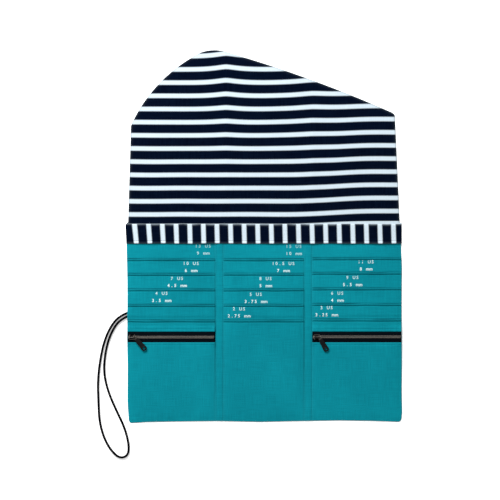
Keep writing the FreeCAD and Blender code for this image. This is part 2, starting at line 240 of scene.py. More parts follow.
def braided_elastic():
    material, tree, shader = new_material("braided_elastic", 0.9, 0.0)
    parts = tree.nodes.new("ShaderNodeSeparateXYZ")
    feed(tree, parts.inputs[0], tree.nodes.new("ShaderNodeTexCoord").outputs["UV"])
    along, around, _ = parts.outputs
    waves = []
    for way in (1, -1):
        slant = sum_node(tree, "MULTIPLY", around, way * BRAID_AROUND * 2 * math.pi)
        turn = sum_node(tree, "MULTIPLY_ADD", along, BRAID_ALONG * 2 * math.pi, slant)
        waves.append(sum_node(tree, "SINE", turn))
    braid = sum_node(tree, "MULTIPLY_ADD", sum_node(tree, "MULTIPLY", *waves), 0.5, 0.5)
    feed(tree, shader.inputs["Base Color"],
         blend_colour(tree, braid, ELASTIC_BLACK, ELASTIC_SHEEN))
    bump(tree, shader, braid, BRAID_RAISE)
    return material


def make_cord():
    """The cord as one open spline on the table."""
    line = bpy.data.curves.new("closing_cord", "CURVE")
    line.dimensions = "3D"
    spline = line.splines.new("NURBS")
    spline.points.add(len(CORD_ROUTE) - 1)
    for point, (x, y) in zip(spline.points, CORD_ROUTE):
        point.co = ((SIDE_X + x) * MM, y * MM, CORD_DIAMETER / 2 * MM, 1.0)
    spline.order_u = 3
    spline.use_endpoint_u = True
    spline.resolution_u = 12
    line.bevel_depth = CORD_DIAMETER / 2 * MM
    line.bevel_resolution = 5
    line.use_fill_caps = True
    line.materials.append(braided_elastic())
    return put("closing_cord", line)


closing_cord = make_cord()
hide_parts("elastic_cord")
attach(closing_cord, "left_panel")

# %% [markdown]
# ## Sizes read from the model
# The pieces of cloth are read from the model, in millimetres, so nothing is typed twice. Each
# column of pockets has a left and a right limit. Each strip of pocket has a mouth, which is its
# upper folded edge. The side profile of a strip says how it climbs over the strips under it.

# %% Columns, mouths and profiles
SIDES = ("left", "center", "right")
TIERS = range(1, 6)


def reach(node, axis):
    """Lowest and highest place of a measured piece along one axis, in millimetres."""
    low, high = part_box(node)
    return low[axis] / MM, high[axis] / MM


def side_profile(node):
    """Places along Y and the height of the upper side there, in millimetres."""
    heights = {}
    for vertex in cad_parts[node].data.vertices:
        place = round(vertex.co.y / MM, 2)
        heights[place] = max(heights.get(place, -1.0), vertex.co.z / MM)
    places = sorted(heights)
    return np.array(places), np.array([heights[place] for place in places])


LEFT_EDGE, left_end = reach("left_lining", 0)
center_start, center_end = reach("center_lining", 0)
right_start, RIGHT_EDGE = reach("right_lining", 0)
LEFT_SEAM = (left_end + center_start) / 2
RIGHT_SEAM = (center_end + right_start) / 2
MIDDLE_X = (LEFT_SEAM + RIGHT_SEAM) / 2
POCKETS = {side: reach(side + "_tier_1", 0) for side in SIDES}
LEFT_SPINE = (LEFT_SEAM, POCKETS["center"][0])
RIGHT_SPINE = (POCKETS["center"][1], RIGHT_SEAM)
HEM_Y, FOLD_Y = reach("left_lining", 1)
BASE_TOP = reach("left_lining", 2)[1]
ZIP_Y = (reach("left_coil_upper", 1)[0] + reach("left_coil_lower", 1)[1]) / 2
MOUTHS = {side: [reach("%s_tier_%d" % (side, tier), 1)[1] for tier in TIERS] for side in SIDES}
print("columns", {side: [round(x, 1) for x in POCKETS[side]] for side in SIDES})
print("zip at y = %.1f, mouths of the left column" % ZIP_Y, [round(y, 1) for y in MOUTHS["left"]])

# %% [markdown]
# ## How the layers settle
# Flat boards of cloth do not look sewn. On the real case every layer is caught in the side seams,
# in the hem and beside the two spines, so the pile is pressed thin there and fuller between.
# One rule moves all layers together: heights shrink towards a seam and a low, even ripple lifts
# the pile between the seams. All layers use the same rule, so none comes through another.
# The zip keeps its exact height, because its slider runs there.

# %% Settling rule
SEAM_HEIGHT = 0.35
SEAM_EDGE = 0.9
SEAM_EDGE_KEEP = 0.12
SEAM_REACH = 8.0
THINNEST = 0.1
SIDE_KEEP = 0.7
SPINE_KEEP = 0.66
ZIP_CALM = (8.5, 15.0)
RIPPLE_HEIGHT = 0.45
HEM_CORNER = 4.0
SIDE_LINES = {
    "left": ((-238, -1.6), (-228, -0.8), (-214, 0.2), (-165, 0.0), (-132, 0.7), (-100, 0.3),
             (-60, 0.4), (-35, 0.9), (-16, 1.4)),
    "right": ((-238, -0.5), (-228, 0.6), (-200, 0.0), (-155, 0.4), (-90, -0.2), (-40, 0.3),
              (-20, -0.6)),
}
HEM_LINE = ((-176, -1.3), (-150, 0.0), (-109, 0.7), (-60, 1.2), (-6, 0.1), (35, 1.0),
            (97, 2.0), (138, 1.4), (176, 0.2))


def ease(value, low, high):
    """0 below low, 1 above high, and a smooth rise between."""
    share = np.clip((value - low) / (high - low), 0.0, 1.0)
    return share * share * (3 - 2 * share)


def ripple(across, along, seed, wavelength):
    """Soft unevenness between 0 and 1: crossed waves, the same for the same seed."""
    dice = np.random.default_rng(seed)
    total = np.zeros(np.broadcast(across, along).shape)
    for _ in range(5):
        angle = dice.uniform(0, math.pi)
        length = wavelength * dice.uniform(0.6, 1.6)
        run = across * math.cos(angle) + along * math.sin(angle)
        total = total + np.sin(2 * math.pi * run / length + dice.uniform(0, 2 * math.pi))
    return np.clip(0.5 + total / 5, 0.0, 1.0)


def seam_press(distance, keep, calm):
    """Share of its height that the pile keeps at a distance from a seam."""
    corner = np.clip(distance / SEAM_EDGE, 0.0, 1.0)
    sharp = SEAM_EDGE_KEEP + (1 - SEAM_EDGE_KEEP) * np.sqrt(1 - (1 - corner) ** 2)
    soft = keep + (1 - keep) * ease(distance, 0.0, SEAM_REACH)
    return sharp * (1 - (1 - soft) * calm)


def side_press(x, low, high):
    """Share of its height that a layer keeps beside its two side edges."""
    return seam_press(np.minimum(x - low, high - x), 1.0, 1.0)


def away_from_zip(y):
    return ease(np.abs(y - ZIP_Y), *ZIP_CALM)


def outer_press(x, y):
    """Press of the two side seams and the hem. The seam stands up where it holds the cord."""
    to_side = np.minimum(x - LEFT_EDGE, RIGHT_EDGE - x)
    sides = seam_press(to_side, SIDE_KEEP, away_from_zip(y))
    cord_y = (CORD_ROUTE[0][1] + CORD_ROUTE[-1][1]) / 2
    held = (1 - ease(np.abs(y - cord_y), 4.2, 10.0)) * (x < MIDDLE_X)
    sides = 1 - (1 - sides) * (1 - held)
    return sides * seam_press(y - HEM_Y, SIDE_KEEP, 1.0)


def settle_base(x, y, z):
    """Height of a layer of the base: outer cloth, felt, lining, spine strips and band."""
    return SEAM_HEIGHT + (z - SEAM_HEIGHT) * outer_press(x, y)


def settle_pocket(side, x, y, z):
    """Height of a layer of one pocket column."""
    low, high = POCKETS[side]
    calm = away_from_zip(y) if side != "center" else 1.0
    floor = settle_base(x, y, BASE_TOP)
    height = settle_base(x, y, z)
    if side != "left":
        height = floor + (height - floor) * seam_press(x - low, SPINE_KEEP, calm)
    if side != "right":
        height = floor + (height - floor) * seam_press(high - x, SPINE_KEEP, calm)
    inside = ease(np.minimum(x - low, high - x), 0.0, 22.0)
    under_band = ease(MOUTHS[side][0] - y, 2.0, 12.0) * ease(y - HEM_Y, 0.0, 20.0)
    fullness = np.clip((z - BASE_TOP) / BASE_TOP, 0.0, 1.0)
    lift = RIPPLE_HEIGHT * ripple(x, y * 0.6, len(side), 58.0)
    return height + lift * inside * under_band * calm * fullness


def sewn_outline(x, y):
    """Move the edge of a layer to the sewn outline: round lower corners, sides not quite true."""
    rise = np.clip(HEM_CORNER - (y - HEM_Y), 0.0, HEM_CORNER)
    inset = HEM_CORNER - np.sqrt(HEM_CORNER**2 - rise**2)
    sides = {side: np.interp(y, *zip(*line)) for side, line in SIDE_LINES.items()}
    inset = inset - np.where(x < MIDDLE_X, sides["left"], sides["right"])
    side_share = np.clip(1 - np.minimum(x - LEFT_EDGE, RIGHT_EDGE - x) / 20.0, 0.0, 1.0)
    x_moved = x + np.where(x < MIDDLE_X, 1, -1) * inset * side_share
    hem_share = np.clip(1 - (y - HEM_Y) / 25.0, 0.0, 1.0)
    return x_moved, y + np.interp(x, *zip(*HEM_LINE)) * hem_share


print("pile pressed to %.0f%% at the side seams" % (100 * SIDE_KEEP))

# %% [markdown]
# ## A sheet of cloth as a mesh
# A sheet is a grid with an upper side, a lower side and a rim, so it is closed and has its real
# thickness. Grid lines lie closer together at folded edges and seams, where the shape turns.
# Each sheet carries a map named weave: its own thread directions in metres. Stripes and threads
# follow that map when a fold bends the cloth. Two values go with it: wear marks rubbed edges and
# a painted highlight on folded edges, and crease marks painted shade at pocket mouths, stitch
# lines and spine seams, and the dark seam line round the flap.

# %% Grid and shell helpers
NEAR_EDGE = np.array([0.0, 0.12, 0.3, 0.55, 0.9, 1.4, 2.0, 2.8, 3.6])
LEAST_STEP = 0.07


def grid_lines(low, high, step, fine=()):
    """Places from low to high, closer together beside each place in fine."""
    marks = [np.linspace(low, high, max(2, round((high - low) / step) + 1))]
    for place in fine:
        marks += [place + NEAR_EDGE, place - NEAR_EDGE]
    inner = np.unique(np.concatenate(marks))
    kept = [low]
    for mark in inner:
        if mark - kept[-1] > LEAST_STEP and high - mark > LEAST_STEP:
            kept.append(mark)
    return np.array(kept + [high])


def mesh_object(name, points, faces, material):
    """An object at the origin from points in millimetres."""
    mesh = bpy.data.meshes.new(name)
    mesh.from_pydata((np.asarray(points) * MM).tolist(), [], faces)
    mesh.materials.append(material)
    mesh.shade_smooth()
    mesh.set_sharp_from_angle(angle=math.radians(55))
    return put(name, mesh)


def shell_faces(rows, columns):
    """Faces of an upper grid, a lower grid and the rim between them, all facing outwards."""
    upper = np.arange(rows * columns).reshape(rows, columns)
    lower = upper + rows * columns

    def quads(a, b, c, d):
        return np.stack([part.ravel() for part in (a, b, c, d)], axis=1).tolist()

    faces = quads(upper[:-1, :-1], upper[:-1, 1:], upper[1:, 1:], upper[1:, :-1])
    faces += quads(lower[:-1, :-1], lower[1:, :-1], lower[1:, 1:], lower[:-1, 1:])
    faces += quads(lower[0, :-1], lower[0, 1:], upper[0, 1:], upper[0, :-1])
    faces += quads(upper[-1, :-1], upper[-1, 1:], lower[-1, 1:], lower[-1, :-1])
    faces += quads(upper[:-1, 0], upper[1:, 0], lower[1:, 0], lower[:-1, 0])
    faces += quads(lower[:-1, -1], lower[1:, -1], upper[1:, -1], upper[:-1, -1])
    return faces


def cloth(name, upper, lower, weave, wear_and_highlight, material, crease=0.0):
    """A closed sheet. upper and lower are three grids (x, y, z); weave is two grids; in mm."""
    rows, columns = upper[0].shape
    points = [np.stack([part.ravel() for part in face], axis=1) for face in (upper, lower)]
    made = mesh_object(name, np.concatenate(points), shell_faces(rows, columns), material)
    threads = np.stack([part.ravel() * MM for part in weave], axis=1)
    threads = np.concatenate([threads, threads])
    corners = np.empty(len(made.data.loops), np.int32)
    made.data.loops.foreach_get("vertex_index", corners)
    made.data.uv_layers.new(name="weave").data.foreach_set("uv", threads[corners].ravel())
    # wear: rubbed edges and painted highlight; crease: painted shade, and the flap's dark rim seam
    for label, given in (("wear_and_highlight", wear_and_highlight), ("crease", crease)):
        value = np.broadcast_to(np.clip(given, 0.0, 1.0), (rows, columns)).ravel()
        value = np.concatenate([value, value]).astype(np.float32)
        made.data.attributes.new(label, "FLOAT", "POINT").data.foreach_set("value", value)
    return made


print("grid lines close up to %.2f mm at folded edges" % NEAR_EDGE[1])

# %% [markdown]
# ## Cotton
# The lining and pockets are a plain-woven teal cotton with slightly uneven threads. Up close the
# two sets of threads cross, so the surface is a fine grid of bumps. From further away one sees
# soft streaks along both thread directions, a slow change of depth in the dye, and paler folded
# edges, partly where hands rub and partly a painted highlight. All of it is worked out from the
# weave map. Painted shade darkens the cloth at pocket mouths, stitch lines and spine seams.

# %% Teal cotton
TEAL = (0.0022, 0.190, 0.240, 1)
TEAL_DEEP = (0.0016, 0.124, 0.164, 1)
TEAL_PALE = (0.0040, 0.262, 0.320, 1)
# Palest teal, for rubbed edges and painted highlights, and for dimmed ink
TEAL_PALEST = (0.0200, 0.305, 0.355, 1)
# Painted shade: the colour of the dark lines at mouths, stitches and spine seams
TEAL_PAINTED_SHADE = (0.0012, 0.050, 0.066, 1)
THREAD_PITCH = 0.00062


def teal_cotton():
    material, tree, shader = new_material("teal_cotton", 0.9, 0.015)
    place, across, along = weave_map(tree)
    streaks = map_range(tree, thread_streaks(tree, place), 0.36, 0.64)
    dye = map_range(tree, noise(tree, place, (14, 11, 1), 3.0), 0.32, 0.68)
    colour = blend_colour(tree, streaks, TEAL_DEEP, TEAL_PALE)
    colour = blend_colour(tree, 0.62, colour, TEAL)
    shade = blend_colour(tree, dye, TEAL_DEEP, TEAL_PALE)
    colour = blend_colour(tree, 0.16, colour, shade)
    # Paler edges, partly rubbed and partly painted highlight; then painted shade lines
    worn_and_painted_light = sum_node(tree, "MULTIPLY", carried(tree, "wear_and_highlight"), noise(tree, place, (500, 500, 1)))
    colour = blend_colour(tree, worn_and_painted_light, colour, TEAL_PALEST)
    colour = blend_colour(tree, carried(tree, "crease"), colour, TEAL_PAINTED_SHADE)
    feed(tree, shader.inputs["Base Color"], colour)
    threads = crossing_threads(tree, across, along, THREAD_PITCH)
    height = sum_node(tree, "MULTIPLY_ADD", streaks, 0.9, threads)
    bump(tree, shader, height, 0.00009, 0.8)
    return material


TEAL_CLOTH = teal_cotton()
print("made", TEAL_CLOTH.name)

# %% [markdown]
# ## Striped cotton
# The outside, the band and both sides of the flap are one striped cloth: navy with white bars.
# The stripe is dyed in the thread, so its edge steps from thread to thread instead of being
# ruled. The stripe runs along the first direction of the weave map and repeats along the second.

# %% Striped cotton
STRIPE_REPEAT = 16.95
WHITE_SHARE = 0.325
FIRST_WHITE = 28.05
STRIPE_EDGE = 0.055
NAVY = (0.0003, 0.0014, 0.0068, 1)
NAVY_PALE = (0.0013, 0.0040, 0.0130, 1)
WHITE = (0.500, 0.585, 0.645, 1)
WHITE_DULL = (0.420, 0.500, 0.560, 1)
STRIPED_CREASE = (0.030, 0.050, 0.060, 1)


def striped_cotton():
    material, tree, shader = new_material("striped_cotton", 0.9, 0.008)
    place, across, along = weave_map(tree)
    streaks = map_range(tree, thread_streaks(tree, place), 0.36, 0.64)
    uneven = sum_node(tree, "MULTIPLY_ADD", noise(tree, place, (1900, 700, 1)), 0.0005, -0.00025)
    thread = sum_node(tree, "ADD", along, uneven)
    turn = sum_node(tree, "DIVIDE", sum_node(tree, "SUBTRACT", thread, FIRST_WHITE * MM),
                    STRIPE_REPEAT * MM)
    part = sum_node(tree, "FRACT", sum_node(tree, "ADD", turn, 0.5))
    off_middle = sum_node(tree, "ABSOLUTE", sum_node(tree, "SUBTRACT", part, 0.5))
    half = WHITE_SHARE / 2
    white = map_range(tree, off_middle, half - STRIPE_EDGE, half + STRIPE_EDGE, 1.0, 0.0)
    navy = blend_colour(tree, streaks, NAVY, NAVY_PALE)
    pale = blend_colour(tree, streaks, WHITE_DULL, WHITE)
    pale = blend_colour(tree, 0.5, pale, WHITE)
    colour = blend_colour(tree, white, navy, pale)
    # Paler edges: rubbed, and painted highlight at the band's upper fold. Then the flap's dark rim
    # seam
    worn_and_painted_light = sum_node(tree, "MULTIPLY", carried(tree, "wear_and_highlight"), 0.5)
    colour = blend_colour(tree, worn_and_painted_light, colour, WHITE_DULL)
    colour = blend_colour(tree, carried(tree, "crease"), colour, STRIPED_CREASE)
    feed(tree, shader.inputs["Base Color"], colour)
    threads = crossing_threads(tree, across, along, THREAD_PITCH)
    height = sum_node(tree, "MULTIPLY_ADD", streaks, 0.8, threads)
    bump(tree, shader, height, 0.00009, 0.8)
    return material


STRIPED_CLOTH = striped_cotton()
print("made", STRIPED_CLOTH.name)

# %% [markdown]
# ## Felt and tape
# A thin pale felt stiffens the panels and the flap from inside. It only shows, if at all, as a
# soft line between two cloths. The zip tape is a dense black ribbed weave, flatter than cotton.

# %% Felt and zip tape
FELT = (0.52, 0.53, 0.50, 1)
FELT_GREY = (0.40, 0.41, 0.39, 1)
TAPE_BLACK = (0.0006, 0.0018, 0.0035, 1)
TAPE_RIB = (0.0030, 0.0060, 0.0095, 1)
RIB_PITCH = 0.00055


def soft_felt():
    material, tree, shader = new_material("soft_felt", 0.95, 0.1)
    place, _, _ = weave_map(tree)
    fibre = noise(tree, place, (900, 900, 1), 4.0)
    feed(tree, shader.inputs["Base Color"], blend_colour(tree, fibre, FELT_GREY, FELT))
    bump(tree, shader, fibre, 0.0003)
    return material


def woven_tape():
    material, tree, shader = new_material("woven_tape", 0.8, 0.02)
    place, across, along = weave_map(tree)
    slant = sum_node(tree, "ADD", across, sum_node(tree, "ABSOLUTE", along))
    rib = sum_node(tree, "SINE", sum_node(tree, "MULTIPLY", slant, 2 * math.pi / RIB_PITCH))
    rib = sum_node(tree, "MULTIPLY_ADD", rib, 0.5, 0.5)
    fluff = noise(tree, place, (1500, 1500, 1))
    shade = sum_node(tree, "MULTIPLY", rib, fluff)
    feed(tree, shader.inputs["Base Color"], blend_colour(tree, shade, TAPE_BLACK, TAPE_RIB))
    bump(tree, shader, rib, 0.00008)
    return material


FELT_PAD = soft_felt()
TAPE_CLOTH = woven_tape()
print("made", FELT_PAD.name, "and", TAPE_CLOTH.name)

# %% [markdown]
# ## Base: outer cloth, felt and lining
# The outer cloth and the lining run the full width of the case and bend at the two spines. A
# piece of cloth can bend between two bodies only, so each is made as two halves that meet
# unseen in the middle. Felt would crack a fold, so it stops short of the spines. The striped
# cloth of the flap goes round the fold line and takes over from the outer cloth just below it.

# %% Base layers
FOLD_START = FOLD_Y - 5.3
FOLD_END = FOLD_Y + 5.7
HALVES = {
    "left": ((LEFT_EDGE, MIDDLE_X), LEFT_SPINE, "left_panel"),
    "right": ((MIDDLE_X, RIGHT_EDGE), RIGHT_SPINE, "right_panel"),
}
finished = []


def bend_at_spine(piece, half):
    """Bake the placement of a piece that lies over one spine into its points."""
    if half == "left":
        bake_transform(piece)
    else:  # the same for the right half
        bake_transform(piece)


def base_sheet(name, half, heights, material):
    """One half of a full-width cloth of the base, between two heights."""
    (x_low, x_high), spine, _ = HALVES[half]
    edge = LEFT_EDGE if half == "left" else RIGHT_EDGE
    across = grid_lines(x_low, x_high, 5.0, (edge,))
    across = np.unique(np.concatenate([across, np.linspace(spine[0], spine[1], 13)]))
    along = grid_lines(HEM_Y, FOLD_START, 6.0, (HEM_Y,))
    x, y = np.meshgrid(across, along)
    sides = [(*sewn_outline(x, y), settle_base(x, y, height)) for height in heights[::-1]]
    wear_and_highlight = 0.12 * np.exp(-np.minimum(np.abs(x - edge), y - HEM_Y) / 1.5)
    return cloth(name, *sides, (x, y), wear_and_highlight, material)


outer_z = reach("left_outer_cloth", 2)
lining_z = reach("left_lining", 2)
felt_z = reach("left_interlining", 2)
for half in HALVES:
    stands_for = ["left"] if half == "left" else ["center", "right"]
    for part, heights, finish in (
        ("outer_cloth", outer_z, STRIPED_CLOTH),
        ("lining", lining_z, TEAL_CLOTH),
    ):
        piece = base_sheet("%s_half_%s" % (half, part), half, heights, finish)
        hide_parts(*[side + "_" + part for side in stands_for])
        bend_at_spine(piece, half)
        finished.append(piece.name)
print("base sheets", finished)

# %% Felt in the panels
FELT_INSET = 1.6
FELT_SQUEEZE = 0.03
FELT_BODIES = {
    "left": (LEFT_EDGE + FELT_INSET, LEFT_SPINE[0] - 1.0),
    "center": (LEFT_SPINE[1] + 0.6, RIGHT_SPINE[0] - 0.6),
    "right": (RIGHT_SPINE[1] + 1.0, RIGHT_EDGE - FELT_INSET),
}
for side, (x_low, x_high) in FELT_BODIES.items():
    across = grid_lines(x_low, x_high, 8.0, (x_low, x_high))
    along = grid_lines(HEM_Y + HEM_CORNER, FOLD_START - 0.8, 8.0, (HEM_Y + HEM_CORNER,))
    x, y = np.meshgrid(across, along)
    sides = [(x, y, settle_base(x, y, felt_z[1] - FELT_SQUEEZE)),
             (x, y, settle_base(x, y, felt_z[0] + FELT_SQUEEZE))]
    piece = cloth(side + "_interlining_felt", *sides, (x, y), 0.0, FELT_PAD)
    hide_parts(side + "_interlining")
    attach(piece, side + "_panel")
    print("felt", side, "%.0f mm wide" % (x_high - x_low))

# %% [markdown]
# ## Pocket strips
# Each pocket is a strip of cloth with its upper edge folded over and topstitched about 3 mm
# down. The fold makes a soft roll at the mouth, the stitches pull a small groove, and the mouth
# stands a little away from the pile between its two sewn ends. The strips lie like roof tiles,
# so only 20 mm of each shows. The long zip pocket and the middle front pocket are pulled
# straight over the steps under them, which is what the taut outline works out.

# %% Shape of a pocket strip
STITCH_DEPTH = 2.9
MOUTH_DROP = {1: 0.0, 2: 2.1, 7: 2.0}
# Strengths of painted shade: at the mouth and the next mouth, along stitches and beside spines
MOUTH_PAINTED_SHADE = 0.66
STITCH_PAINTED_SHADE = 0.38
SPINE_PAINTED_SHADE = 0.07
ROLL_HEIGHT = 0.4
GROOVE_DEPTH = 0.4
GROOVE_WIDTH = 0.75
MOUTH_LIFT = 1.2
MOUTH_LIFT_REACH = 3.6
MOUTH_WANDER = 0.55
CLOTH_ROUND = 0.4
STRIP_THICKNESS = 0.45
SHOWN_DEPTH = 30.0


def taut(places, heights):
    """Upper outline of a profile, as a cloth pulled straight over it."""
    kept = []
    for point in zip(places, heights):
        while len(kept) > 1:
            (y0, z0), (y1, z1) = kept[-2:]
            if (z1 - z0) * (point[0] - y0) > (point[1] - z0) * (y1 - y0):
                break
            kept.pop()
        kept.append(point)
    return np.array([y for y, _ in kept]), np.array([z for _, z in kept])


def folded_edge(depth, lift):
    """Extra height at a depth below a folded edge: the roll, the groove and the lift."""
    roll = ROLL_HEIGHT * np.sin(math.pi * np.clip(depth / STITCH_DEPTH, 0.0, 1.0))
    groove = GROOVE_DEPTH * np.exp(-(((depth - STITCH_DEPTH) / GROOVE_WIDTH) ** 2))
    return roll - groove, lift * np.exp(-np.maximum(depth, 0.0) / MOUTH_LIFT_REACH)


def beside_spines(side, x, y):
    """Painted shade along the seams of the spine strips, from 0 to 1."""
    low, high = POCKETS[side]
    gap = np.full(np.broadcast(x, y).shape, 1e9)
    if side != "left":
        gap = np.minimum(gap, x - low)
    if side != "right":
        gap = np.minimum(gap, high - x)
    return SPINE_PAINTED_SHADE * np.exp(-((gap / 1.9) ** 2)) * (0.6 + 0.8 * ripple(x, y, 77, 30.0))


class Strip:
    """One pocket strip: where it lies, how thick it is and how its edges are folded."""

    def __init__(self, side, node, seed, lift=1.0, roll=1.0, low_fold=False, is_taut=False):
        self.side = side
        self.node = node
        self.seed = seed
        self.lift = lift
        self.roll = roll
        self.low_fold = low_fold
        self.low, mouth = reach(node, 1)
        self.mouth = mouth - MOUTH_DROP.get(seed % 10, 1.0)  # a seed ends in its row's number
        self.next_mouth = None
        self.profile = side_profile(node)
        if is_taut:
            self.profile = taut(*self.profile)
        self.thickness = STRIP_THICKNESS

    def mouth_wave(self, x):
        """How far the mouth stands up, from 0 at its sewn ends to 1."""
        low, high = POCKETS[self.side]
        share = np.clip((x - low) / (high - low), 0.0, 1.0)
        sewn = np.clip(4 * share * (1 - share), 0.0, 1.0) ** 0.5
        return sewn * (0.45 + 0.55 * ripple(x, 0.0, self.seed, 70.0))

    def upper(self, x, y):
        """Place on the upper side for a flat place x, y of the strip."""
        depth = self.mouth - y
        shape, lift = folded_edge(depth, self.lift * MOUTH_LIFT * self.mouth_wave(x))
        shape = shape * self.roll
        if self.low_fold:
            shape = shape + 0.35 * folded_edge(y - self.low, 0.0)[0]
        height = np.interp(y, *self.profile)
        settled = settle_pocket(self.side, x, y, height)
        low, high = POCKETS[self.side]
        free = side_press(x, low, high)
        wander = MOUTH_WANDER * (ripple(x, 0.0, self.seed + 50, 55.0) - 0.5)
        x_moved, y_moved = sewn_outline(x, y)
        y_moved = y_moved + wander * free * np.exp(-np.maximum(depth, 0.0) / 7.0) * (self.lift > 0)
        return x_moved, y_moved, settled + (shape + lift) * free

    def lower(self, x, y):
        """Place on the lower side: the cloth's thickness below, less at a rounded edge."""
        x_up, y_up, z_up = self.upper(x, y)
        low, high = POCKETS[self.side]
        press = outer_press(x, y) * side_press(x, low, high)
        return x_up, y_up, z_up - self.thickness * np.maximum(press, THINNEST)

    def rounded(self, x, y):
        """Upper side, turned down over the folded edges."""
        x_up, y_up, z_up = self.upper(x, y)
        depth = self.mouth - y
        if self.low_fold:
            depth = np.minimum(depth, y - self.low)
        turn = np.clip(depth / CLOTH_ROUND, 0.0, 1.0)
        drop = self.thickness * 0.85 * (1 - np.sqrt(1 - (1 - turn) ** 2))
        return x_up, y_up, z_up - drop

    def crease(self, x, y):
        """Painted shade lines: at the mouth, at the next strip's mouth, along the stitches and
        spines.
        """
        depth = self.mouth - y
        lines = STITCH_PAINTED_SHADE * np.exp(-(((depth - STITCH_DEPTH) / 0.8) ** 2))
        lines = np.maximum(lines, MOUTH_PAINTED_SHADE * np.exp(-((depth / 1.1) ** 2)))
        lines = lines * (self.roll == 1.0)
        if self.next_mouth is not None:
            above = np.maximum(y - self.next_mouth, 0.0)
            lines = np.maximum(lines, MOUTH_PAINTED_SHADE * np.exp(-((above / 0.9) ** 2)))
        lines = lines * (0.6 + 0.7 * ripple(x, 0.0, self.seed + 70, 40.0))
        return np.maximum(lines, beside_spines(self.side, x, y))

    def make(self, name):
        low, high = POCKETS[self.side]
        shown = max(self.low, self.mouth - SHOWN_DEPTH)
        across = grid_lines(low, high, 2.2, (low, high))
        fine = [self.mouth, self.mouth - STITCH_DEPTH]
        if self.next_mouth is not None:
            fine.append(self.next_mouth)
        along = grid_lines(shown, self.mouth, 1.6, fine)
        if shown > self.low:
            step = 4.0 if self.low < HEM_Y + 1 else 8.0
            fine = (self.low,) if self.low < HEM_Y + 1 else ()
            along = np.concatenate([grid_lines(self.low, shown, step, fine)[:-1], along])
        elif self.low_fold:
            along = grid_lines(self.low, self.mouth, 1.6,
                               (self.low, self.low + STITCH_DEPTH, self.mouth,
                                self.mouth - STITCH_DEPTH))
        x, y = np.meshgrid(across, along)
        # The mouth fold is paler as a painted highlight; the side ends are paler too.
        wear_and_highlight = 0.2 * np.exp(-(self.mouth - y) / 0.7)
        wear_and_highlight = wear_and_highlight + 0.25 * np.exp(-np.minimum(x - low, high - x) / 1.2)
        made = cloth(name, self.rounded(x, y), self.lower(x, y), (x, y), wear_and_highlight, TEAL_CLOTH,
                     self.crease(x, y))
        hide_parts(self.node)
        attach(made, self.side + "_panel")
        return made


print("mouths stand up to %.1f mm off the pile" % MOUTH_LIFT)

# %% Pocket strips of the three columns
STRIPS = {}
for column, side in enumerate(SIDES):
    for tier in TIERS:
        node = "%s_tier_%d" % (side, tier)
        free = 0.0 if tier == 1 else 1.0
        STRIPS[side, tier] = Strip(side, node, 10 * column + tier, lift=free, roll=free)
    if side == "center":
        front = Strip(side, "center_front_pocket", 26, is_taut=True)
    else:
        front = Strip(side, side + "_zip_facing", 10 * column + 6, low_fold=True)
        pocket = Strip(side, side + "_zip_pocket", 10 * column + 7, 0.0, 0.35, is_taut=True)
        STRIPS[side, 7] = pocket
    STRIPS[side, 6] = front
for (side, tier), strip in STRIPS.items():
    if tier < 6:
        strip.next_mouth = STRIPS[side, tier + 1].mouth
    strip.make(strip.node + "_cloth")
print("made", len(STRIPS), "pocket strips")

# %% [markdown]
# ## Spine strips
# Two narrow strips cover the places where the case folds in three. Each is a folded ribbon of
# the teal cotton, sewn down along both sides, so it is slightly crowned between its stitches.

# %% Spine strips
SPINE_CROWN = 0.35
SPINE_OVERHANG = 0.45
strip_z = reach("left_spine_strip", 2)


def spine_upper(spine, x, y):
    """Upper side of a spine strip."""
    share = np.clip((x - spine[0]) / (spine[1] - spine[0]), 0.0, 1.0)
    crown = SPINE_CROWN * np.sqrt(np.maximum(4 * share * (1 - share), 0.0))
    pucker = 0.12 * ripple(x * 0.5, y, 71, 9.0) * np.sin(math.pi * share)
    top = settle_base(x, y, strip_z[1])
    return *sewn_outline(x, y), top - 0.18 + crown + pucker * ease(y - HEM_Y, 1.0, 6.0)


for half, spine in (("left", LEFT_SPINE), ("right", RIGHT_SPINE)):
    low, high = spine[0] - SPINE_OVERHANG, spine[1] + SPINE_OVERHANG
    across = np.concatenate([[low], np.linspace(spine[0], spine[1], 15), [high]])
    along = grid_lines(HEM_Y, FOLD_Y - 4.0, 2.4, (HEM_Y,))
    x, y = np.meshgrid(across, along)
    upper = spine_upper(spine, x, y)
    lower = (*upper[:2], np.minimum(settle_base(x, y, strip_z[0]), upper[2] - 0.08))
    # Paler edges, and painted shade along both seams of the ribbon
    wear_and_highlight = 0.35 * np.exp(-np.minimum(x - low, high - x) / 0.8)
    name = half + "_spine_ribbon"
    to_seam = np.minimum(x - low, high - x)
    crease = 1.2 * SPINE_PAINTED_SHADE * np.exp(-((to_seam / 1.7) ** 2))
    crease = crease * (0.6 + 0.8 * ripple(x, y, 77, 30.0))
    piece = cloth(name, upper, lower, (x, y), wear_and_highlight, TEAL_CLOTH, crease)
    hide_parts(half + "_spine_strip")
    bend_at_spine(piece, half)
    print(name, "%.1f mm wide" % (high - low))

# %% [markdown]
# ## The striped band
# The band hangs from the fold line over the first pocket mouths. It is cut with its stripes
# running downwards. Its lower edge is folded and free, so it stands off the pockets a little
# and shades them. Its upper edge turns down into the seam with the flap; that fold is made
# paler by a painted highlight.

# %% Band
BAND_REPEAT = 17.5
BAND_FIRST_WHITE = -166.3
BAND_LEAN = 0.027
BAND_LEAN_AT_EDGE = 0.066
BAND_LIFT = 1.3
BAND_TURN = 1.7
BAND_TURN_DROP = 0.75
BAND_END_OUT = 2.8
BAND_SET_DOWN = 1.9
# Strength of the painted highlight along the band's upper fold
BAND_FOLD_HIGHLIGHT = 0.9
band_z = reach("left_band", 2)
BAND_LOW, BAND_HIGH = reach("left_band", 1)
BAND_HIGH = BAND_HIGH - BAND_SET_DOWN


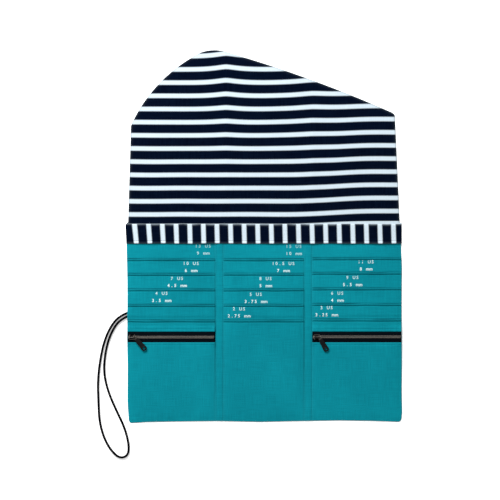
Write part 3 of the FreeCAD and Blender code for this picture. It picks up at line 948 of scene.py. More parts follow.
def band_upper(x, y):
    """Upper side of the band."""
    depth = y - BAND_LOW
    shape, lift = folded_edge(depth, BAND_LIFT * (0.35 + 0.65 * ripple(x, 0.0, 31, 60.0)))
    turn = np.clip((y - (BAND_HIGH - BAND_TURN)) / BAND_TURN, 0.0, 1.0)
    drop = BAND_TURN_DROP * (1 - np.sqrt(1 - turn**2))
    sides = side_press(x, LEFT_EDGE, RIGHT_EDGE)
    swell = 0.3 * ripple(x, y, 33, 45.0) * ease(BAND_HIGH - y, 0.0, 8.0)
    wander = 0.5 * (ripple(x, 0.0, 34, 50.0) - 0.5) * np.exp(-depth / 6.0)
    edge_wander = 0.45 * (ripple(x, 0.0, 35, 24.0) - 0.5) * np.exp(-(BAND_HIGH - y) / 4.0)
    height = settle_base(x, y, band_z[1]) + (shape + lift + swell - drop) * sides
    slope = 0.65 + 0.35 * ease(y, BAND_LOW, BAND_HIGH)
    beyond = BAND_END_OUT * slope * np.exp(-(x - LEFT_EDGE) / 4.0)
    return x - beyond, y + wander + edge_wander, height


for half, ((x_low, x_high), spine, _) in HALVES.items():
    edge = LEFT_EDGE if half == "left" else RIGHT_EDGE
    across = grid_lines(x_low, x_high, 2.0, (edge,))
    along = grid_lines(BAND_LOW, BAND_HIGH, 1.4, (BAND_LOW, BAND_LOW + STITCH_DEPTH, BAND_HIGH))
    x, y = np.meshgrid(across, along)
    upper = band_upper(x, y)
    turn = np.clip((y - BAND_LOW) / CLOTH_ROUND, 0.0, 1.0)
    thick = band_z[1] - band_z[0]
    rounded = upper[2] - 0.85 * thick * (1 - np.sqrt(1 - (1 - turn) ** 2))
    press = np.maximum(side_press(x, LEFT_EDGE, RIGHT_EDGE), THINNEST)
    lower = (upper[0], upper[1], upper[2] - thick * press)
    lean = BAND_LEAN + BAND_LEAN_AT_EDGE * ease(-x, 90.0, 176.0)
    leaning = x + lean * (y - (BAND_LOW + BAND_HIGH) / 2)
    repeats = (leaning - BAND_FIRST_WHITE) / BAND_REPEAT
    weave = (y, FIRST_WHITE + repeats * STRIPE_REPEAT)
    wear_and_highlight = 0.25 * np.exp(-(y - BAND_LOW) / 0.7)
    # Painted highlight along the upper fold, uneven along the band
    rubbed = 0.55 + 0.9 * (ripple(x, 0.0, 36, 22.0) - 0.5)
    wear_and_highlight = wear_and_highlight + BAND_FOLD_HIGHLIGHT * rubbed * np.exp(-(((BAND_HIGH - y) / 1.5) ** 2))
    piece = cloth(half + "_half_band", (upper[0], upper[1], rounded), lower, weave, wear_and_highlight,
                  STRIPED_CLOTH)
    stands_for = ["left_band"] if half == "left" else ["center_band", "right_band"]
    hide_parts(*stands_for)
    bend_at_spine(piece, half)
    print(piece.name, "white bars every %.1f mm" % BAND_REPEAT)

# %% [markdown]
# ## The flap
# The flap is a bag of two striped cloths with thin felt between, turned right side out, so its
# edge is a soft rounded seam. Its outline is read from the model. The two pressed creases stay
# from carrying the case folded in three. The stripes ride up a little over a crease and lean
# up to the right, where the cloth was pulled while sewing. The two cloths run on below the fold
# line under the band.

# %% Flap outline
FOOT_SPREAD = 1.4
CORNER_TIP = np.array((167.8, 157.85))
CORNER_KEEP = 0.45


def flap_rim():
    """The free edge of the flap as one line of points, from the left panel to the right one."""
    corners = set()
    for side in SIDES:
        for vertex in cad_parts[side + "_flap_face"].data.vertices:
            corners.add((round(vertex.co.x / MM, 2), round(vertex.co.y / MM, 2)))
    foot = min(y for _, y in corners)
    splits = [reach(side + "_flap_face", 0) for side in SIDES]
    inner = [splits[0][1], splits[1][0], splits[1][1], splits[2][0]]
    free = [c for c in corners if c[1] > foot + 1 or min(abs(c[0] - x) for x in inner) > 1]
    centre = np.mean(np.array(free), axis=0)
    free.sort(key=lambda c: -math.atan2(c[1] - centre[1], c[0] - centre[0]) % (2 * math.pi))
    start = min(range(len(free)), key=lambda i: free[i][0] + free[i][1])
    line = free[start:] + free[:start]
    rim = np.array([(LEFT_EDGE, FOLD_START), (LEFT_EDGE, FOLD_Y - 0.4)] + line
                   + [(RIGHT_EDGE, FOLD_Y - 0.4), (RIGHT_EDGE, FOLD_START)])
    rim[:, 0] -= FOOT_SPREAD * (rim[:, 0] < LEFT_SEAM) * (1 - ease(rim[:, 1], 40.0, 105.0))
    corner = (rim[:, 0] > 159.0) & (rim[:, 1] > 148.0)
    rim[corner] = CORNER_TIP + CORNER_KEEP * (rim[corner] - CORNER_TIP)
    return rim


FLAP_RIM = flap_rim()
PEAK = int(np.argmax(FLAP_RIM[:, 1]))
print("flap rim of", len(FLAP_RIM), "points, peak at y = %.1f" % FLAP_RIM[PEAK, 1])


def rim_limits(y):
    """Left and right limit of the flap at a height y."""
    rising, falling = FLAP_RIM[: PEAK + 1], FLAP_RIM[PEAK:][::-1]
    return np.interp(y, rising[:, 1], rising[:, 0]), np.interp(y, falling[:, 1], falling[:, 0])


def to_rim(x, y):
    """Distance from each place to the free edge."""
    best = np.full(x.shape, 1e9)
    for (x0, y0), (x1, y1) in zip(FLAP_RIM, FLAP_RIM[1:]):
        run = (x1 - x0, y1 - y0)
        length = run[0] ** 2 + run[1] ** 2 + 1e-12
        share = np.clip(((x - x0) * run[0] + (y - y0) * run[1]) / length, 0.0, 1.0)
        gap = np.hypot(x - x0 - share * run[0], y - y0 - share * run[1])
        best = np.minimum(best, gap)
    return best


# %% Flap cloths
CREASES = ((-49.0, 6.0, 0.35), (62.5, 5.0, 0.3))
FLAP_RIPPLE = 0.25
FLAP_MIDDLE = 0.375
RIM_ROLL = 3.5
RIM_CREASE = 0.5
PULLED_UP = ((-50.0, 17.0, 2.7, 1.6), (-45.0, 50.0, 1.3, 5.0), (62.0, 30.0, 3.0, 1.0))
RIGHT_RISE = 4.3
SLIDER_SPOTS = [reach(side + "_pull", 0) + reach(side + "_pull", 1) for side in ("left", "right")]
SPOT_MARGIN = 12.0


def beside_sliders(x, y):
    """1 away from the places that come to lie over the zip pulls, 0 on them."""
    free = np.ones(np.broadcast(x, y).shape)
    mirrored = 2 * FOLD_Y - y
    for x_low, x_high, y_low, y_high in SLIDER_SPOTS:
        out_x = np.maximum(np.maximum(x_low - 10 - x, x - x_high), 0.0)
        out_y = np.maximum(np.maximum(y_low - mirrored, mirrored - y_high), 0.0)
        free = free * ease(np.hypot(out_x, out_y), 2.0, SPOT_MARGIN)
    return free


def flap_lift(x, y):
    """How far the flap stands off the table: creases and a low ripple."""
    lift = FLAP_RIPPLE * ripple(x, y * 0.7, 12, 95.0)
    for place, width, height in CREASES:
        lift = lift + height * np.exp(-(((x - place) / width) ** 2))
    return lift * ease(y, FOLD_END, FOLD_END + 30.0) * beside_sliders(x, y)


def flap_height(x, y, z_low_end, z_flap):
    """Height of one side of a flap cloth, rolled in at the free edge."""
    level = np.interp(y, [FOLD_START, FOLD_Y + 1.0, FOLD_END + 2.0], [z_low_end, z_low_end, z_flap])
    rim = to_rim(x, y)
    press = seam_press(rim, 1.0, 1.0) * (0.75 + 0.25 * ease(rim, 0.0, RIM_ROLL))
    return FLAP_MIDDLE + (level - FLAP_MIDDLE) * press + flap_lift(x, y)


def flap_weave(x, y):
    """Thread directions of the flap cloth, pulled up over the crease and to the right."""
    height = ease(y, FOLD_Y, FLAP_RIM[PEAK, 1])
    over_crease = sum(rise * height**growth * np.exp(-np.abs((x - place) / width) ** 1.5)
                      for place, width, rise, growth in PULLED_UP)
    to_right = RIGHT_RISE * ease(x, 27.0, 157.0)
    slack = 0.5 * (ripple(x, y * 0.4, 15, 70.0) - 0.5)
    at_fold = 1.9 * (1 - ease(y, FOLD_Y + 0.6, FOLD_Y + 4.0))
    return x, y - over_crease - to_right + slack - at_fold


FLAP_COLUMNS = {
    "left": (LEFT_EDGE - FOOT_SPREAD - 1, LEFT_SEAM),
    "center": (LEFT_SEAM, RIGHT_SEAM),
    "right": (RIGHT_SEAM, RIGHT_EDGE + 1),
}


def flap_grid(side, y_low, inset):
    """A grid over one column of the flap, its ends on the free edge."""
    x_low, x_high = FLAP_COLUMNS[side]
    marks = [p for p in FLAP_RIM if x_low <= p[0] <= x_high]
    top = max(float(p[1]) for p in marks)
    for limit in (LEFT_SEAM, RIGHT_SEAM):
        if x_low <= limit <= x_high:
            near = FLAP_RIM[np.argsort(np.abs(FLAP_RIM[:, 0] - limit))[:2]]
            top = max(top, float(near[:, 1].min()))
    along = grid_lines(y_low, top - 2 * inset, 2.6, (y_low, FOLD_Y, top))
    left, right = rim_limits(along + 1.6 * inset)
    left = np.maximum(left + inset, x_low)
    right = np.maximum(np.minimum(right - inset, x_high), left + 0.05)
    share = grid_lines(0.0, 1000.0, 22.0) / 1000.0
    fine = np.array([0.0008, 0.003, 0.006, 0.011])
    share = np.unique(np.concatenate([share, fine, 1 - fine]))
    x = left[:, None] + (right - left)[:, None] * share[None, :]
    return x, np.repeat(along[:, None], len(share), axis=1)


def bend_at_fold(piece):
    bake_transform(piece)


face_z = reach("left_flap_face", 2)
back_z = reach("left_flap_backing", 2)
FLAP_CLOTHS = {
    "face": ((lining_z[0], face_z[0]), (lining_z[1], face_z[1])),
    "backing": ((outer_z[0], back_z[0]), (outer_z[1], back_z[1])),
}
for side in SIDES:
    for part, (low_z, high_z) in FLAP_CLOTHS.items():
        x, y = flap_grid(side, FOLD_START, 0.0)
        upper = (x, y, flap_height(x, y, *high_z))
        lower = (x, y, np.minimum(flap_height(x, y, *low_z), upper[2] - 0.04))
        wear_and_highlight = 0.15 * np.exp(-to_rim(x, y) / 0.9)
        crease = RIM_CREASE * np.exp(-((to_rim(x, y) / 0.9) ** 2))
        piece = cloth("%s_flap_%s_cloth" % (side, part), upper, lower, flap_weave(x, y), wear_and_highlight,
                      STRIPED_CLOTH, crease)
        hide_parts("%s_flap_%s" % (side, part))
        bend_at_fold(piece)
        width, length = x.max() - x.min(), y.max() - y.min()
        print(piece.name, "%.0f x %.0f mm" % (width, length))

# %% Felt in the flap
flap_felt_z = reach("left_flap_interlining", 2)
for side in SIDES:
    x, y = flap_grid(side, FOLD_END + 0.6, 1.6)
    upper = (x, y, flap_height(x, y, 0.0, flap_felt_z[1] - 0.02))
    lower = (x, y, flap_height(x, y, 0.0, flap_felt_z[0] + 0.02))
    piece = cloth(side + "_flap_felt", upper, lower, (x, y), 0.0, FELT_PAD)
    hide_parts(side + "_flap_interlining")
    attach(piece, "flap_" + side)
    width, length = x.max() - x.min(), y.max() - y.min()
    print(piece.name, "ready")

# %% [markdown]
# ## Zips
# Each zip is a black tape in two halves with a row of metal teeth clamped on each inner edge.
# The slider carries a bridge, and the pull turns on it. The teeth repeat hundreds of times,
# so one rounded tooth is modelled and a small node tree sets it out at an even pitch.

# %% Zip tape
TAPE_INNER = 0.3
TAPE_THICKNESS = 0.38
ZIP_SAG = {"left": 1.15, "right": 0.7}
for side in ("left", "right"):
    for part, way in (("upper", 1), ("lower", -1)):
        node = "%s_tape_%s" % (side, part)
        y_low, y_high = reach(node, 1)
        inner, outer = (y_low, y_high) if way > 0 else (y_high, y_low)
        low, high = POCKETS[side]
        across = grid_lines(low, high, 3.0, (low, high))
        start, stop = sorted((ZIP_Y - ZIP_SAG[side] + way * TAPE_INNER, outer))
        along = grid_lines(start, stop, 1.0)
        x, y = np.meshgrid(across, along)
        top = np.interp(y, *side_profile(node))
        upper = (x, y, settle_pocket(side, x, y, top))
        press = outer_press(x, y) * side_press(x, low, high)
        lower = (x, y, upper[2] - TAPE_THICKNESS * np.maximum(press, THINNEST))
        threads = (x, y - ZIP_Y + ZIP_SAG[side])
        piece = cloth(node + "_weave", upper, lower, threads, 0.0, TAPE_CLOTH)
        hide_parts(node)
        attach(piece, side + "_panel")
        print(piece.name, "%.1f mm deep" % abs(stop - start))

# %% [markdown]
# Zip metal on this case is an aged brown grey: rubbed brighter on the edges that hands and cloth
# touch, darker in the hollows. The teeth are the same metal, a little duller.

# %% Zip metals
TEETH_METAL = (0.128, 0.116, 0.103, 1)
TEETH_DARK = (0.050, 0.043, 0.038, 1)
SLIDER_METAL = (0.300, 0.290, 0.262, 1)
SLIDER_DARK = (0.110, 0.102, 0.090, 1)
PULL_METAL = (0.034, 0.028, 0.024, 1)
METAL_DARK = (0.010, 0.009, 0.010, 1)
METAL_RUBBED = (0.300, 0.270, 0.235, 1)
METAL_HOLLOW = (0.006, 0.006, 0.007, 1)


def aged_metal(name, colour, dark, roughness, metallic, grain):
    material, tree, shader = new_material(name, roughness, 0.4)
    shader.inputs["Metallic"].default_value = metallic
    place = tree.nodes.new("ShaderNodeTexCoord").outputs["Object"]
    mottle = noise(tree, place, (grain, grain, grain), 4.0)
    mixed = blend_colour(tree, map_range(tree, mottle, 0.35, 0.7), dark, colour)
    edges = tree.nodes.new("ShaderNodeNewGeometry").outputs["Pointiness"]
    rubbed = map_range(tree, edges, 0.52, 0.60, 0.0, 0.6)
    mixed = blend_colour(tree, rubbed, mixed, METAL_RUBBED)
    hollow = carried(tree, "hollow")
    feed(tree, shader.inputs["Base Color"], blend_colour(tree, hollow, mixed, METAL_HOLLOW))
    bump(tree, shader, mottle, 0.00005)
    return material


TEETH_FINISH = aged_metal("aged_teeth", TEETH_METAL, TEETH_DARK, 0.5, 0.55, 1500)
SLIDER_FINISH = aged_metal("aged_slider", SLIDER_METAL, SLIDER_DARK, 0.38, 0.8, 900)
PULL_FINISH = aged_metal("dark_pull", PULL_METAL, METAL_DARK, 0.42, 0.7, 900)
print("made three aged metals")

# %% [markdown]
# One tooth is a bar with a wider head, which hooks between the heads of the other half.

# %% One tooth
TOOTH_LENGTH = 0.92
TOOTH_PITCH = 1.3
TOOTH_ROUND = 0.2


def tooth_mesh(y_inner, y_outer, z_low, z_high):
    """A rounded bar with a thicker head towards the middle of the zip, in metres."""
    shape = bmesh.new()
    bmesh.ops.create_cube(shape, size=1.0)
    deep = abs(y_outer - y_inner)
    middle = (y_inner + y_outer) / 2
    for vertex in shape.verts:
        x, y, z = vertex.co
        at_head = (y > 0) == (y_inner > y_outer)
        half = TOOTH_LENGTH / 2 * (1.0 if at_head else 0.8)
        vertex.co = Vector((math.copysign(half, x), middle + y * deep,
                            (z_low + z_high) / 2 + z * (z_high - z_low))) * MM
    bmesh.ops.bevel(shape, geom=shape.edges[:], offset=TOOTH_ROUND * MM, segments=2,
                    affect="EDGES", profile=0.6, clamp_overlap=True)
    bmesh.ops.recalc_face_normals(shape, faces=shape.faces[:])
    mesh = bpy.data.meshes.new("tooth")
    shape.to_mesh(mesh)
    shape.free()
    mesh.shade_smooth()
    return mesh


print("a tooth of %.2f mm every %.1f mm" % (TOOTH_LENGTH, TOOTH_PITCH))

# %% [markdown]
# The next tree sets one shape out along a straight line. Its inputs are the shape, the first
# place, the step, the number and the finish. It ends in real geometry, not instances, so the
# result is a plain mesh.

# %% Row-of-teeth tree
def tree_with(name, sockets):
    """A new geometry tree with named inputs and one geometry output."""
    tree = bpy.data.node_groups.new(name, "GeometryNodeTree")
    for label, kind in sockets:
        tree.interface.new_socket(label, in_out="INPUT", socket_type=kind)
    tree.interface.new_socket("Made", in_out="OUTPUT", socket_type="NodeSocketGeometry")
    return tree, tree.nodes.new("NodeGroupInput"), tree.nodes.new("NodeGroupOutput")


def finish_tree(tree, start, end, geometry):
    """Turn instances into real geometry and give it its finish."""
    real = tree.nodes.new("GeometryNodeRealizeInstances")
    coat = tree.nodes.new("GeometryNodeSetMaterial")
    tree.links.new(geometry, real.inputs[0])
    tree.links.new(real.outputs[0], coat.inputs["Geometry"])
    tree.links.new(start.outputs["Finish"], coat.inputs["Material"])
    tree.links.new(coat.outputs[0], end.inputs[0])


def run_tree(tree, name, source_mesh, values):
    """Run a tree on an object and return the result as a plain object at the origin."""
    worker = put(name + "_worker", source_mesh)
    step = worker.modifiers.new("made", "NODES")
    step.node_group = tree
    for item in tree.interface.items_tree:
        if item.in_out == "INPUT" and item.name in values:
            step[item.identifier] = values[item.name]
    graph = bpy.context.evaluated_depsgraph_get()
    mesh = bpy.data.meshes.new_from_object(worker.evaluated_get(graph))
    mesh.name = name
    bpy.data.objects.remove(worker)
    return put(name, mesh)


def line_tree():
    sockets = (("Shape", "NodeSocketObject"), ("First place", "NodeSocketVector"),
               ("Step", "NodeSocketVector"), ("Number", "NodeSocketInt"),
               ("Finish", "NodeSocketMaterial"))
    tree, start, end = tree_with("set out in a row", sockets)
    line = tree.nodes.new("GeometryNodeMeshLine")
    line.mode = "OFFSET"
    tree.links.new(start.outputs["Number"], line.inputs["Count"])
    tree.links.new(start.outputs["First place"], line.inputs["Start Location"])
    tree.links.new(start.outputs["Step"], line.inputs["Offset"])
    shape = tree.nodes.new("GeometryNodeObjectInfo")
    tree.links.new(start.outputs["Shape"], shape.inputs["Object"])
    place = tree.nodes.new("GeometryNodeInstanceOnPoints")
    tree.links.new(line.outputs[0], place.inputs["Points"])
    tree.links.new(shape.outputs["Geometry"], place.inputs["Instance"])
    finish_tree(tree, start, end, place.outputs[0])
    return tree


ROW_TREE = line_tree()
print("tree ready:", ROW_TREE.name)

# %% Zip teeth
TEETH_FROM_EDGE = 1.3
TOOTH_SHORT = 0.6
for side in ("left", "right"):
    low, high = POCKETS[side]
    for part, way in (("upper", 1), ("lower", -1)):
        node = "%s_coil_%s" % (side, part)
        y_low, y_high = reach(node, 1)
        z_low, z_high = reach(node, 2)
        inner, outer = (y_low, y_high) if way > 0 else (y_high, y_low)
        sag = ZIP_SAG[side]
        ends = (inner - way * 0.06 - sag, outer - way * TOOTH_SHORT - sag)
        tooth = put("tooth", tooth_mesh(*ends, z_low, z_high))
        first = low + TEETH_FROM_EDGE + (TOOTH_PITCH / 2 if way > 0 else 0.0)
        number = int((high - TEETH_FROM_EDGE - first) / TOOTH_PITCH) + 1
        values = {"Shape": tooth, "First place": (first * MM, 0, 0), "Number": number,
                  "Step": (TOOTH_PITCH * MM, 0, 0), "Finish": TEETH_FINISH}
        empty = bpy.data.meshes.new("start")
        row = run_tree(ROW_TREE, "%s_teeth_%s" % (side, part), empty, values)
        bpy.data.objects.remove(tooth)
        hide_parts(node)
        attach(row, side + "_panel")
        print(row.name, number, "teeth")

# %% [markdown]
# The slider and the pull have the right shape in the model, but their edges are razor sharp.
# Cast and tumbled metal has small rounds, which catch the light. A merged copy of each gets
# a fine bevel and stands for it.

# %% Sliders and pulls
SLIDER_NARROW = 0.87
SLIDER_ROUND = 2.95
SLIDER_HOLLOW = (0.7, 0.12)
PULL_FULLNESS = 0.5
PULL_REACH = {"left": 1.0, "right": 0.93}
PULL_SLANT = {"left": math.radians(49.0), "right": math.radians(60.0)}
KNUCKLE_SHIFT = 2.2


def cut(shape, place, direction):
    """Cut a shape across at a place, in metres, so that it can be bent there."""
    geometry = shape.verts[:] + shape.edges[:] + shape.faces[:]
    bmesh.ops.bisect_plane(shape, geom=geometry, dist=1e-7, plane_no=direction, plane_co=place)


def slider_form(side):
    """How a slider is shaped: round plate ends, and the top plate sunk inside a rim."""
    low, high = reach(side + "_slider", 0)
    middle = (low + high) / 2
    rim, depth = SLIDER_HOLLOW

    def form(shape):
        for off in np.arange(-2.4, 2.5, 0.6):
            cut(shape, (0, (ZIP_Y + off) * MM, 0), (0, 1, 0))
        for vertex in shape.verts:
            x, y = vertex.co.x / MM - middle, (vertex.co.y / MM - ZIP_Y) * SLIDER_NARROW
            cut_back = SLIDER_ROUND - math.sqrt(max(SLIDER_ROUND**2 - y * y, 0.0))
            x = x - math.copysign(cut_back * float(ease(abs(x), 3.6, 4.8)), x)
            vertex.co.x, vertex.co.y = (middle + x) * MM, (ZIP_Y - ZIP_SAG[side] + y) * MM
        shape.normal_update()
        levels = {}
        for face in shape.faces:
            if face.normal.z > 0.99:
                levels.setdefault(round(face.calc_center_median().z / MM, 2), []).append(face)
        # the top plate is the highest level of any size, in square metres
        broad = {level for level in levels if sum(f.calc_area() for f in levels[level]) > 3e-5}
        top = max(levels, key=lambda level: (level in broad, level))
        bmesh.ops.inset_region(shape, faces=levels[top], thickness=rim * MM, depth=-depth * MM,
                               use_even_offset=False)
        print("slider top plate at %.2f mm" % top)
        return lambda x, y, z: float(top - 1.05 * depth < z < top - 0.5 * depth)

    return form


def pull_form(side):
    """How a pull is shaped: as wide at its root as it is cast, and dark beyond the root."""
    slant = PULL_SLANT[side]
    low, high = reach(side + "_slider", 0)
    pivot_x, pivot_y = (low + high) / 2 + KNUCKLE_SHIFT, ZIP_Y

    def run_and_off(x, y):
        x, y = x - pivot_x, y - pivot_y
        return (x * math.cos(slant) - y * math.sin(slant),
                x * math.sin(slant) + y * math.cos(slant))

    def form(shape):
        along = Vector((math.cos(slant), -math.sin(slant), 0.0))
        for run in np.arange(3.0, 14.0, 1.0):
            cut(shape, (Vector((pivot_x, pivot_y, 0.0)) + along * float(run)) * MM, along)
        for vertex in shape.verts:
            run, off = run_and_off(vertex.co.x / MM, vertex.co.y / MM)
            fuller = 1 + PULL_FULLNESS * float(ease(run, 2.8, 5.0) * (1 - ease(run, 6.0, 17.0)))
            off = off * fuller
            run = run if run < 2.0 else 2.0 + (run - 2.0) * PULL_REACH[side]
            vertex.co.x = (pivot_x + run * math.cos(slant) + off * math.sin(slant)) * MM
            vertex.co.y = (pivot_y - run * math.sin(slant) + off * math.cos(slant)) * MM
        return lambda x, y, z: float(ease(run_and_off(x, y)[0], 2.0, 5.0))

    return form


def softened_copy(node, name, width, material, form):
    """A copy of a measured metal piece, shaped by form, with its edges rounded."""
    shape = bmesh.new()
    shape.from_mesh(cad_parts[node].data)
    bmesh.ops.remove_doubles(shape, verts=shape.verts[:], dist=0.00001)
    bmesh.ops.dissolve_limit(shape, angle_limit=math.radians(1.0), verts=shape.verts[:],
                             edges=shape.edges[:])
    hollow_at = form(shape)
    sharp = [e for e in shape.edges if e.is_manifold and e.calc_face_angle(0) > math.radians(40)]
    bmesh.ops.bevel(shape, geom=sharp, offset=width * MM, segments=2, affect="EDGES",
                    profile=0.5, clamp_overlap=True)
    mesh = bpy.data.meshes.new(name)
    shape.to_mesh(mesh)
    shape.free()
    hollow = [hollow_at(*(vertex.co / MM)) for vertex in mesh.vertices]
    mesh.attributes.new("hollow", "FLOAT", "POINT").data.foreach_set("value", hollow)
    mesh.materials.clear()
    mesh.materials.append(material)
    mesh.shade_smooth()
    mesh.set_sharp_from_angle(angle=math.radians(38))
    return put(name, mesh)


for side in ("left", "right"):
    for part, width, finish, body, form in (
        ("slider", 0.07, SLIDER_FINISH, side + "_zip_slider", slider_form(side)),
        ("pull", 0.07, PULL_FINISH, side + "_pull_tab", pull_form(side)),
    ):
        name = "%s_%s_metal" % (side, part)
        piece = softened_copy("%s_%s" % (side, part), name, width, finish, form)
        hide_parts("%s_%s" % (side, part))
        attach(piece, body)
        print(piece.name, len(piece.data.polygons), "faces")

# %% [markdown]
# ## Stitches
# Topstitching holds every pocket mouth, both sides of each spine and both sides of each zip.
# A stitch is a short fat thread that dives into the cloth at both ends. The lines are laid on
# the finished cloth, and a node tree sets one stitch at every step along them.

# %% Thread finish and stitch tree
THREAD_TEAL = (0.002, 0.085, 0.108, 1)
THREAD_TEAL_PALE = (0.004, 0.135, 0.165, 1)
STITCH_STEP = 2.5
STITCH_LENGTH = 2.05
THREAD_RADIUS = 0.17


def sewing_thread():
    material, tree, shader = new_material("teal_thread", 0.8, 0.03)
    place = tree.nodes.new("ShaderNodeTexCoord").outputs["Object"]
    twist = noise(tree, place, (2500, 2500, 2500), 1.0)
    feed(tree, shader.inputs["Base Color"],
         blend_colour(tree, twist, THREAD_TEAL, THREAD_TEAL_PALE))
    bump(tree, shader, twist, 0.00006)
    return material


def stitch_tree():
    sockets = (("Lines", "NodeSocketGeometry"), ("Step", "NodeSocketFloat"),
               ("Stitch length", "NodeSocketFloat"), ("Thread radius", "NodeSocketFloat"),
               ("Finish", "NodeSocketMaterial"))
    tree, start, end = tree_with("stitches along lines", sockets)
    curve = tree.nodes.new("GeometryNodeMeshToCurve")
    even = tree.nodes.new("GeometryNodeResampleCurve")
    even.mode = "LENGTH"
    points = tree.nodes.new("GeometryNodeCurveToPoints")
    points.mode = "EVALUATED"
    turned = tree.nodes.new("FunctionNodeAlignRotationToVector")
    turned.axis = "X"
    stitch = tree.nodes.new("GeometryNodeMeshUVSphere")
    stitch.inputs["Segments"].default_value = 6
    stitch.inputs["Rings"].default_value = 5
    size = tree.nodes.new("ShaderNodeCombineXYZ")
    stretch = tree.nodes.new("GeometryNodeTransform")
    place = tree.nodes.new("GeometryNodeInstanceOnPoints")
    tree.links.new(start.outputs["Lines"], curve.inputs[0])
    tree.links.new(curve.outputs[0], even.inputs["Curve"])
    tree.links.new(start.outputs["Step"], even.inputs["Length"])
    tree.links.new(even.outputs[0], points.inputs[0])
    tree.links.new(points.outputs["Tangent"], turned.inputs["Vector"])
    half = sum_node(tree, "MULTIPLY", start.outputs["Stitch length"], 0.5)
    tree.links.new(half, size.inputs[0])
    tree.links.new(start.outputs["Thread radius"], size.inputs[1])
    tree.links.new(start.outputs["Thread radius"], size.inputs[2])
    stitch.inputs["Radius"].default_value = 1.0
    tree.links.new(stitch.outputs[0], stretch.inputs[0])
    tree.links.new(size.outputs[0], stretch.inputs["Scale"])
    tree.links.new(points.outputs[0], place.inputs["Points"])
    tree.links.new(stretch.outputs[0], place.inputs["Instance"])
    tree.links.new(turned.outputs[0], place.inputs["Rotation"])
    finish_tree(tree, start, end, place.outputs[0])
    return tree


TEAL_THREAD = sewing_thread()
STITCH_TREE = stitch_tree()
print("stitch every %.1f mm" % STITCH_STEP)


def sewn_lines(name, lines):
    """One mesh of stitches along several lines of points, in millimetres."""
    points, edges = [], []
    for line in lines:
        first = len(points)
        points += [tuple(point) for point in line]
        edges += [(i, i + 1) for i in range(first, len(points) - 1)]
    guide = bpy.data.meshes.new(name + "_guide")
    guide.from_pydata((np.array(points) * MM).tolist(), edges, [])
    values = {"Step": STITCH_STEP * MM, "Stitch length": STITCH_LENGTH * MM,
              "Thread radius": THREAD_RADIUS * MM, "Finish": TEAL_THREAD}
    made = run_tree(STITCH_TREE, name, guide, values)
    made.data.shade_smooth()
    print(name, len(lines), "lines,", len(made.data.polygons), "faces")
    return made


# %% Stitch lines
def line_on(upper, xs, ys, raise_by=0.03):
    """Points on the upper side of a cloth above flat places."""
    x, y, z = upper(np.asarray(xs, float), np.asarray(ys, float))
    return np.stack([x, y, z + raise_by], axis=1)


SEAM_INSET = 1.6
for side in SIDES:
    low, high = POCKETS[side]
    xs = np.linspace(low + SEAM_INSET, high - SEAM_INSET, 70)
    lines = []
    for (strip_side, tier), strip in STRIPS.items():
        if strip_side != side or tier in (1, 7):
            continue
        lines.append(line_on(strip.upper, xs, np.full_like(xs, strip.mouth - STITCH_DEPTH)))
    stitches = sewn_lines(side + "_pocket_stitches", lines)
    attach(stitches, side + "_panel")

SPINE_STITCH_INSET = 1.1
for half, spine in (("left", LEFT_SPINE), ("right", RIGHT_SPINE)):
    ys = np.linspace(HEM_Y + 3.0, BAND_LOW + 1.0, 120)
    lines = []
    for x in (spine[0] + SPINE_STITCH_INSET, spine[1] - SPINE_STITCH_INSET):
        upper = lambda across, along, spine=spine: spine_upper(spine, across, along)
        lines.append(line_on(upper, np.full_like(ys, x), ys, 0.0))
    stitches = sewn_lines(half + "_spine_stitches", lines)
    bend_at_spine(stitches, half)

# %% [markdown]
# ## Needle sizes
# Each pocket is marked with the size of the needle tip it holds, in the US number and in
# millimetres, as plain typed figures in white ink. They are generic sizes, like numbers on a
# dial. Each figure is set in the same width, as a typewriter does, and laid on the cloth.

# %% Size marks
INK_WHITE = (0.86, 0.90, 0.90, 1)
INK_THIN = (0.45, 0.66, 0.68, 1)
LETTER_SIZE = 5.6
LETTER_STEP = 4.35
LETTER_WIDEST = 3.9
LETTER_BOLD = 0.10
LINE_DEPTHS = (7.6, 16.7)
INK_RAISE = 0.10
MARK_RISE = {"left": (2.0, 1.7, 1.3, 2.0), "center": (1.5, 1.6, 1.0, 0.7, 2.1),
             "right": (0.0, 2.5, 1.2, 1.1, 2.3)}
LINE_FADE = (0.42, 0.22)
# The first row lies under the band's edge: its figures are dimmed as painted shade
FIRST_TIER_BAND_SHADE = 0.3
SIZE_MARKS = {
    ("left", 1): (-79.5, "13 US", "9 mm"),
    ("left", 2): (-95.0, "10 US", "6 mm"),
    ("left", 3): (-113.0, "7 US", "4.5 mm"),
    ("left", 4): (-132.9, "4 US", "3.5 mm"),
    ("center", 1): (37.4, "15 US", "10 mm"),
    ("center", 2): (24.0, "10.5 US", "7 mm"),
    ("center", 3): (1.1, "8 US", "5 mm"),
    ("center", 4): (-11.5, "5 US", "3.75 mm"),
    ("center", 5): (-33.1, "2 US", "2.75 mm"),
    ("right", 2): (130.4, "11 US", "8 mm"),
    ("right", 3): (113.0, "9 US", "5.5 mm"),
    ("right", 4): (93.4, "6 US", "4 mm"),
    ("right", 5): (79.7, "3 US", "3.25 mm"),
}


def fabric_ink():
    material, tree, shader = new_material("fabric_ink", 0.8, 0.1)
    place = tree.nodes.new("ShaderNodeTexCoord").outputs["Object"]
    thin = map_range(tree, noise(tree, place, (1800, 1800, 1800), 2.0), 0.30, 0.55)
    printed = blend_colour(tree, thin, INK_THIN, INK_WHITE)
    # Ink dimmed towards the teal where faded, and on the first row as painted shade
    worn_and_painted_light = blend_colour(tree, carried(tree, "fade_and_shade"), printed, TEAL_PALEST)
    feed(tree, shader.inputs["Base Color"], worn_and_painted_light)
    bump(tree, shader, thin, 0.00003)
    return material


INK = fabric_ink()
known_letters = {}


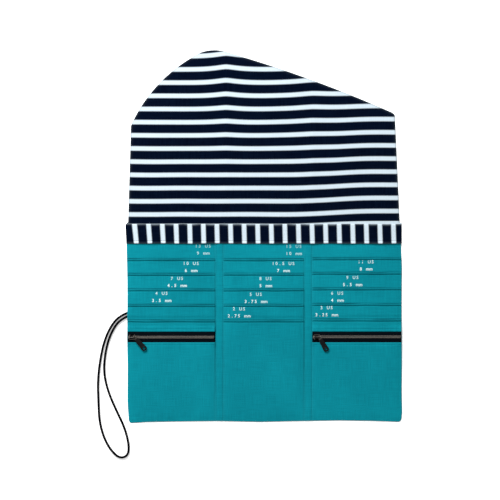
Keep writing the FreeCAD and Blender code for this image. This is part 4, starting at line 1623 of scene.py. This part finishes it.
def letter(sign):
    """Points and faces of one letter, in millimetres, centred on its width."""
    if sign not in known_letters:
        text = bpy.data.curves.new("letter", "FONT")
        text.body = sign
        text.size = LETTER_SIZE
        text.offset = LETTER_BOLD
        text.extrude = INK_RAISE / 2
        text.resolution_u = 3
        holder = put("letter", text)
        graph = bpy.context.evaluated_depsgraph_get()
        mesh = bpy.data.meshes.new_from_object(holder.evaluated_get(graph))
        bpy.data.objects.remove(holder)
        points = np.array([v.co[:] for v in mesh.vertices])
        points[:, 0] -= (points[:, 0].min() + points[:, 0].max()) / 2
        points[:, 0] *= min(1.0, LETTER_WIDEST / max(np.ptp(points[:, 0]), 0.01))
        known_letters[sign] = points, [tuple(p.vertices) for p in mesh.polygons]
    return known_letters[sign]


def typed_line(strip, words, centre_x, centre_y, points, faces):
    """Add one line of figures, laid on a pocket strip."""
    cap = np.ptp(letter("5")[0][:, 1])
    for place, sign in enumerate(words):
        if sign == " ":
            continue
        flat, sides = letter(sign)
        x = centre_x + (place - (len(words) - 1) / 2) * LETTER_STEP + flat[:, 0]
        y = centre_y - cap / 2 + flat[:, 1]
        on_x, on_y, on_z = strip.upper(x, y)
        first = sum(len(group) for group in points)
        points.append(np.stack([on_x, on_y, on_z + INK_RAISE + flat[:, 2]], axis=1))
        faces += [tuple(first + i for i in side) for side in sides]


for side in SIDES:
    points, faces, dimming = [], [], []
    for (mark_side, tier), (centre_x, first_line, second_line) in SIZE_MARKS.items():
        if mark_side != side:
            continue
        strip = STRIPS[side, tier]
        rise = MARK_RISE[side][tier - 1]
        for words, depth, dimmed in zip((first_line, second_line), LINE_DEPTHS, LINE_FADE):
            before = len(points)
            typed_line(strip, words, centre_x, strip.mouth - depth + rise, points, faces)
            # First row: extra dimming as painted shade of the band
            dimmed += FIRST_TIER_BAND_SHADE if tier == 1 else 0.0
            dimming += [np.full(len(group), dimmed) for group in points[before:]]
    piece = mesh_object(side + "_size_marks", np.concatenate(points), faces, INK)
    fade_and_shade = piece.data.attributes.new("fade_and_shade", "FLOAT", "POINT")
    fade_and_shade.data.foreach_set("value", np.concatenate(dimming))
    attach(piece, side + "_panel")
    print(piece.name, len(faces), "faces")

# %% [markdown]
# ## Floor and light
# A plain white table and soft studio light: a bright room on all sides and one large soft lamp
# from the upper left, so that folded edges and the rolls at the mouths are modelled gently.

# %% Floor and light
ROOM_STRENGTH = 0.38
LAMPS = (
    ("upper left lamp", (-0.7, 1.3, 1.0), 0.9, 66.0),
    ("low front lamp", (-0.6, -2.0, 1.2), 0.7, 8.0),
)
FLOOR_WHITE = (0.97, 0.97, 0.97, 1)
FLOOR_GLOW = 0.35
TABLE_HALF = 2500.0
TABLE_LEVEL = -0.06

room = bpy.data.worlds.new("bright room")
room.use_nodes = True
room.node_tree.nodes["Background"].inputs["Color"].default_value = (1, 1, 1, 1)
room.node_tree.nodes["Background"].inputs["Strength"].default_value = ROOM_STRENGTH
scene.world = room
scene.view_settings.view_transform = "Standard"

for name, place, size, power in LAMPS:
    lamp_data = bpy.data.lights.new(name, "AREA")
    lamp_data.shape = "DISK"
    lamp_data.size = size
    lamp_data.energy = power
    lamp = put(name, lamp_data)
    lamp.location = place
    lamp.rotation_euler = (-Vector(place)).to_track_quat("-Z", "Y").to_euler()

table_finish, _, table_shader = new_material("white_table", 0.9, 0.1)
table_shader.inputs["Base Color"].default_value = FLOOR_WHITE
table_shader.inputs["Emission Color"].default_value = (1, 1, 1, 1)
table_shader.inputs["Emission Strength"].default_value = FLOOR_GLOW
corners = [(x * TABLE_HALF, y * TABLE_HALF, TABLE_LEVEL)
           for x, y in ((-1, -1), (1, -1), (1, 1), (-1, 1))]
table = mesh_object("white_table", corners, [(0, 1, 2, 3)], table_finish)
print("floor and light ready")
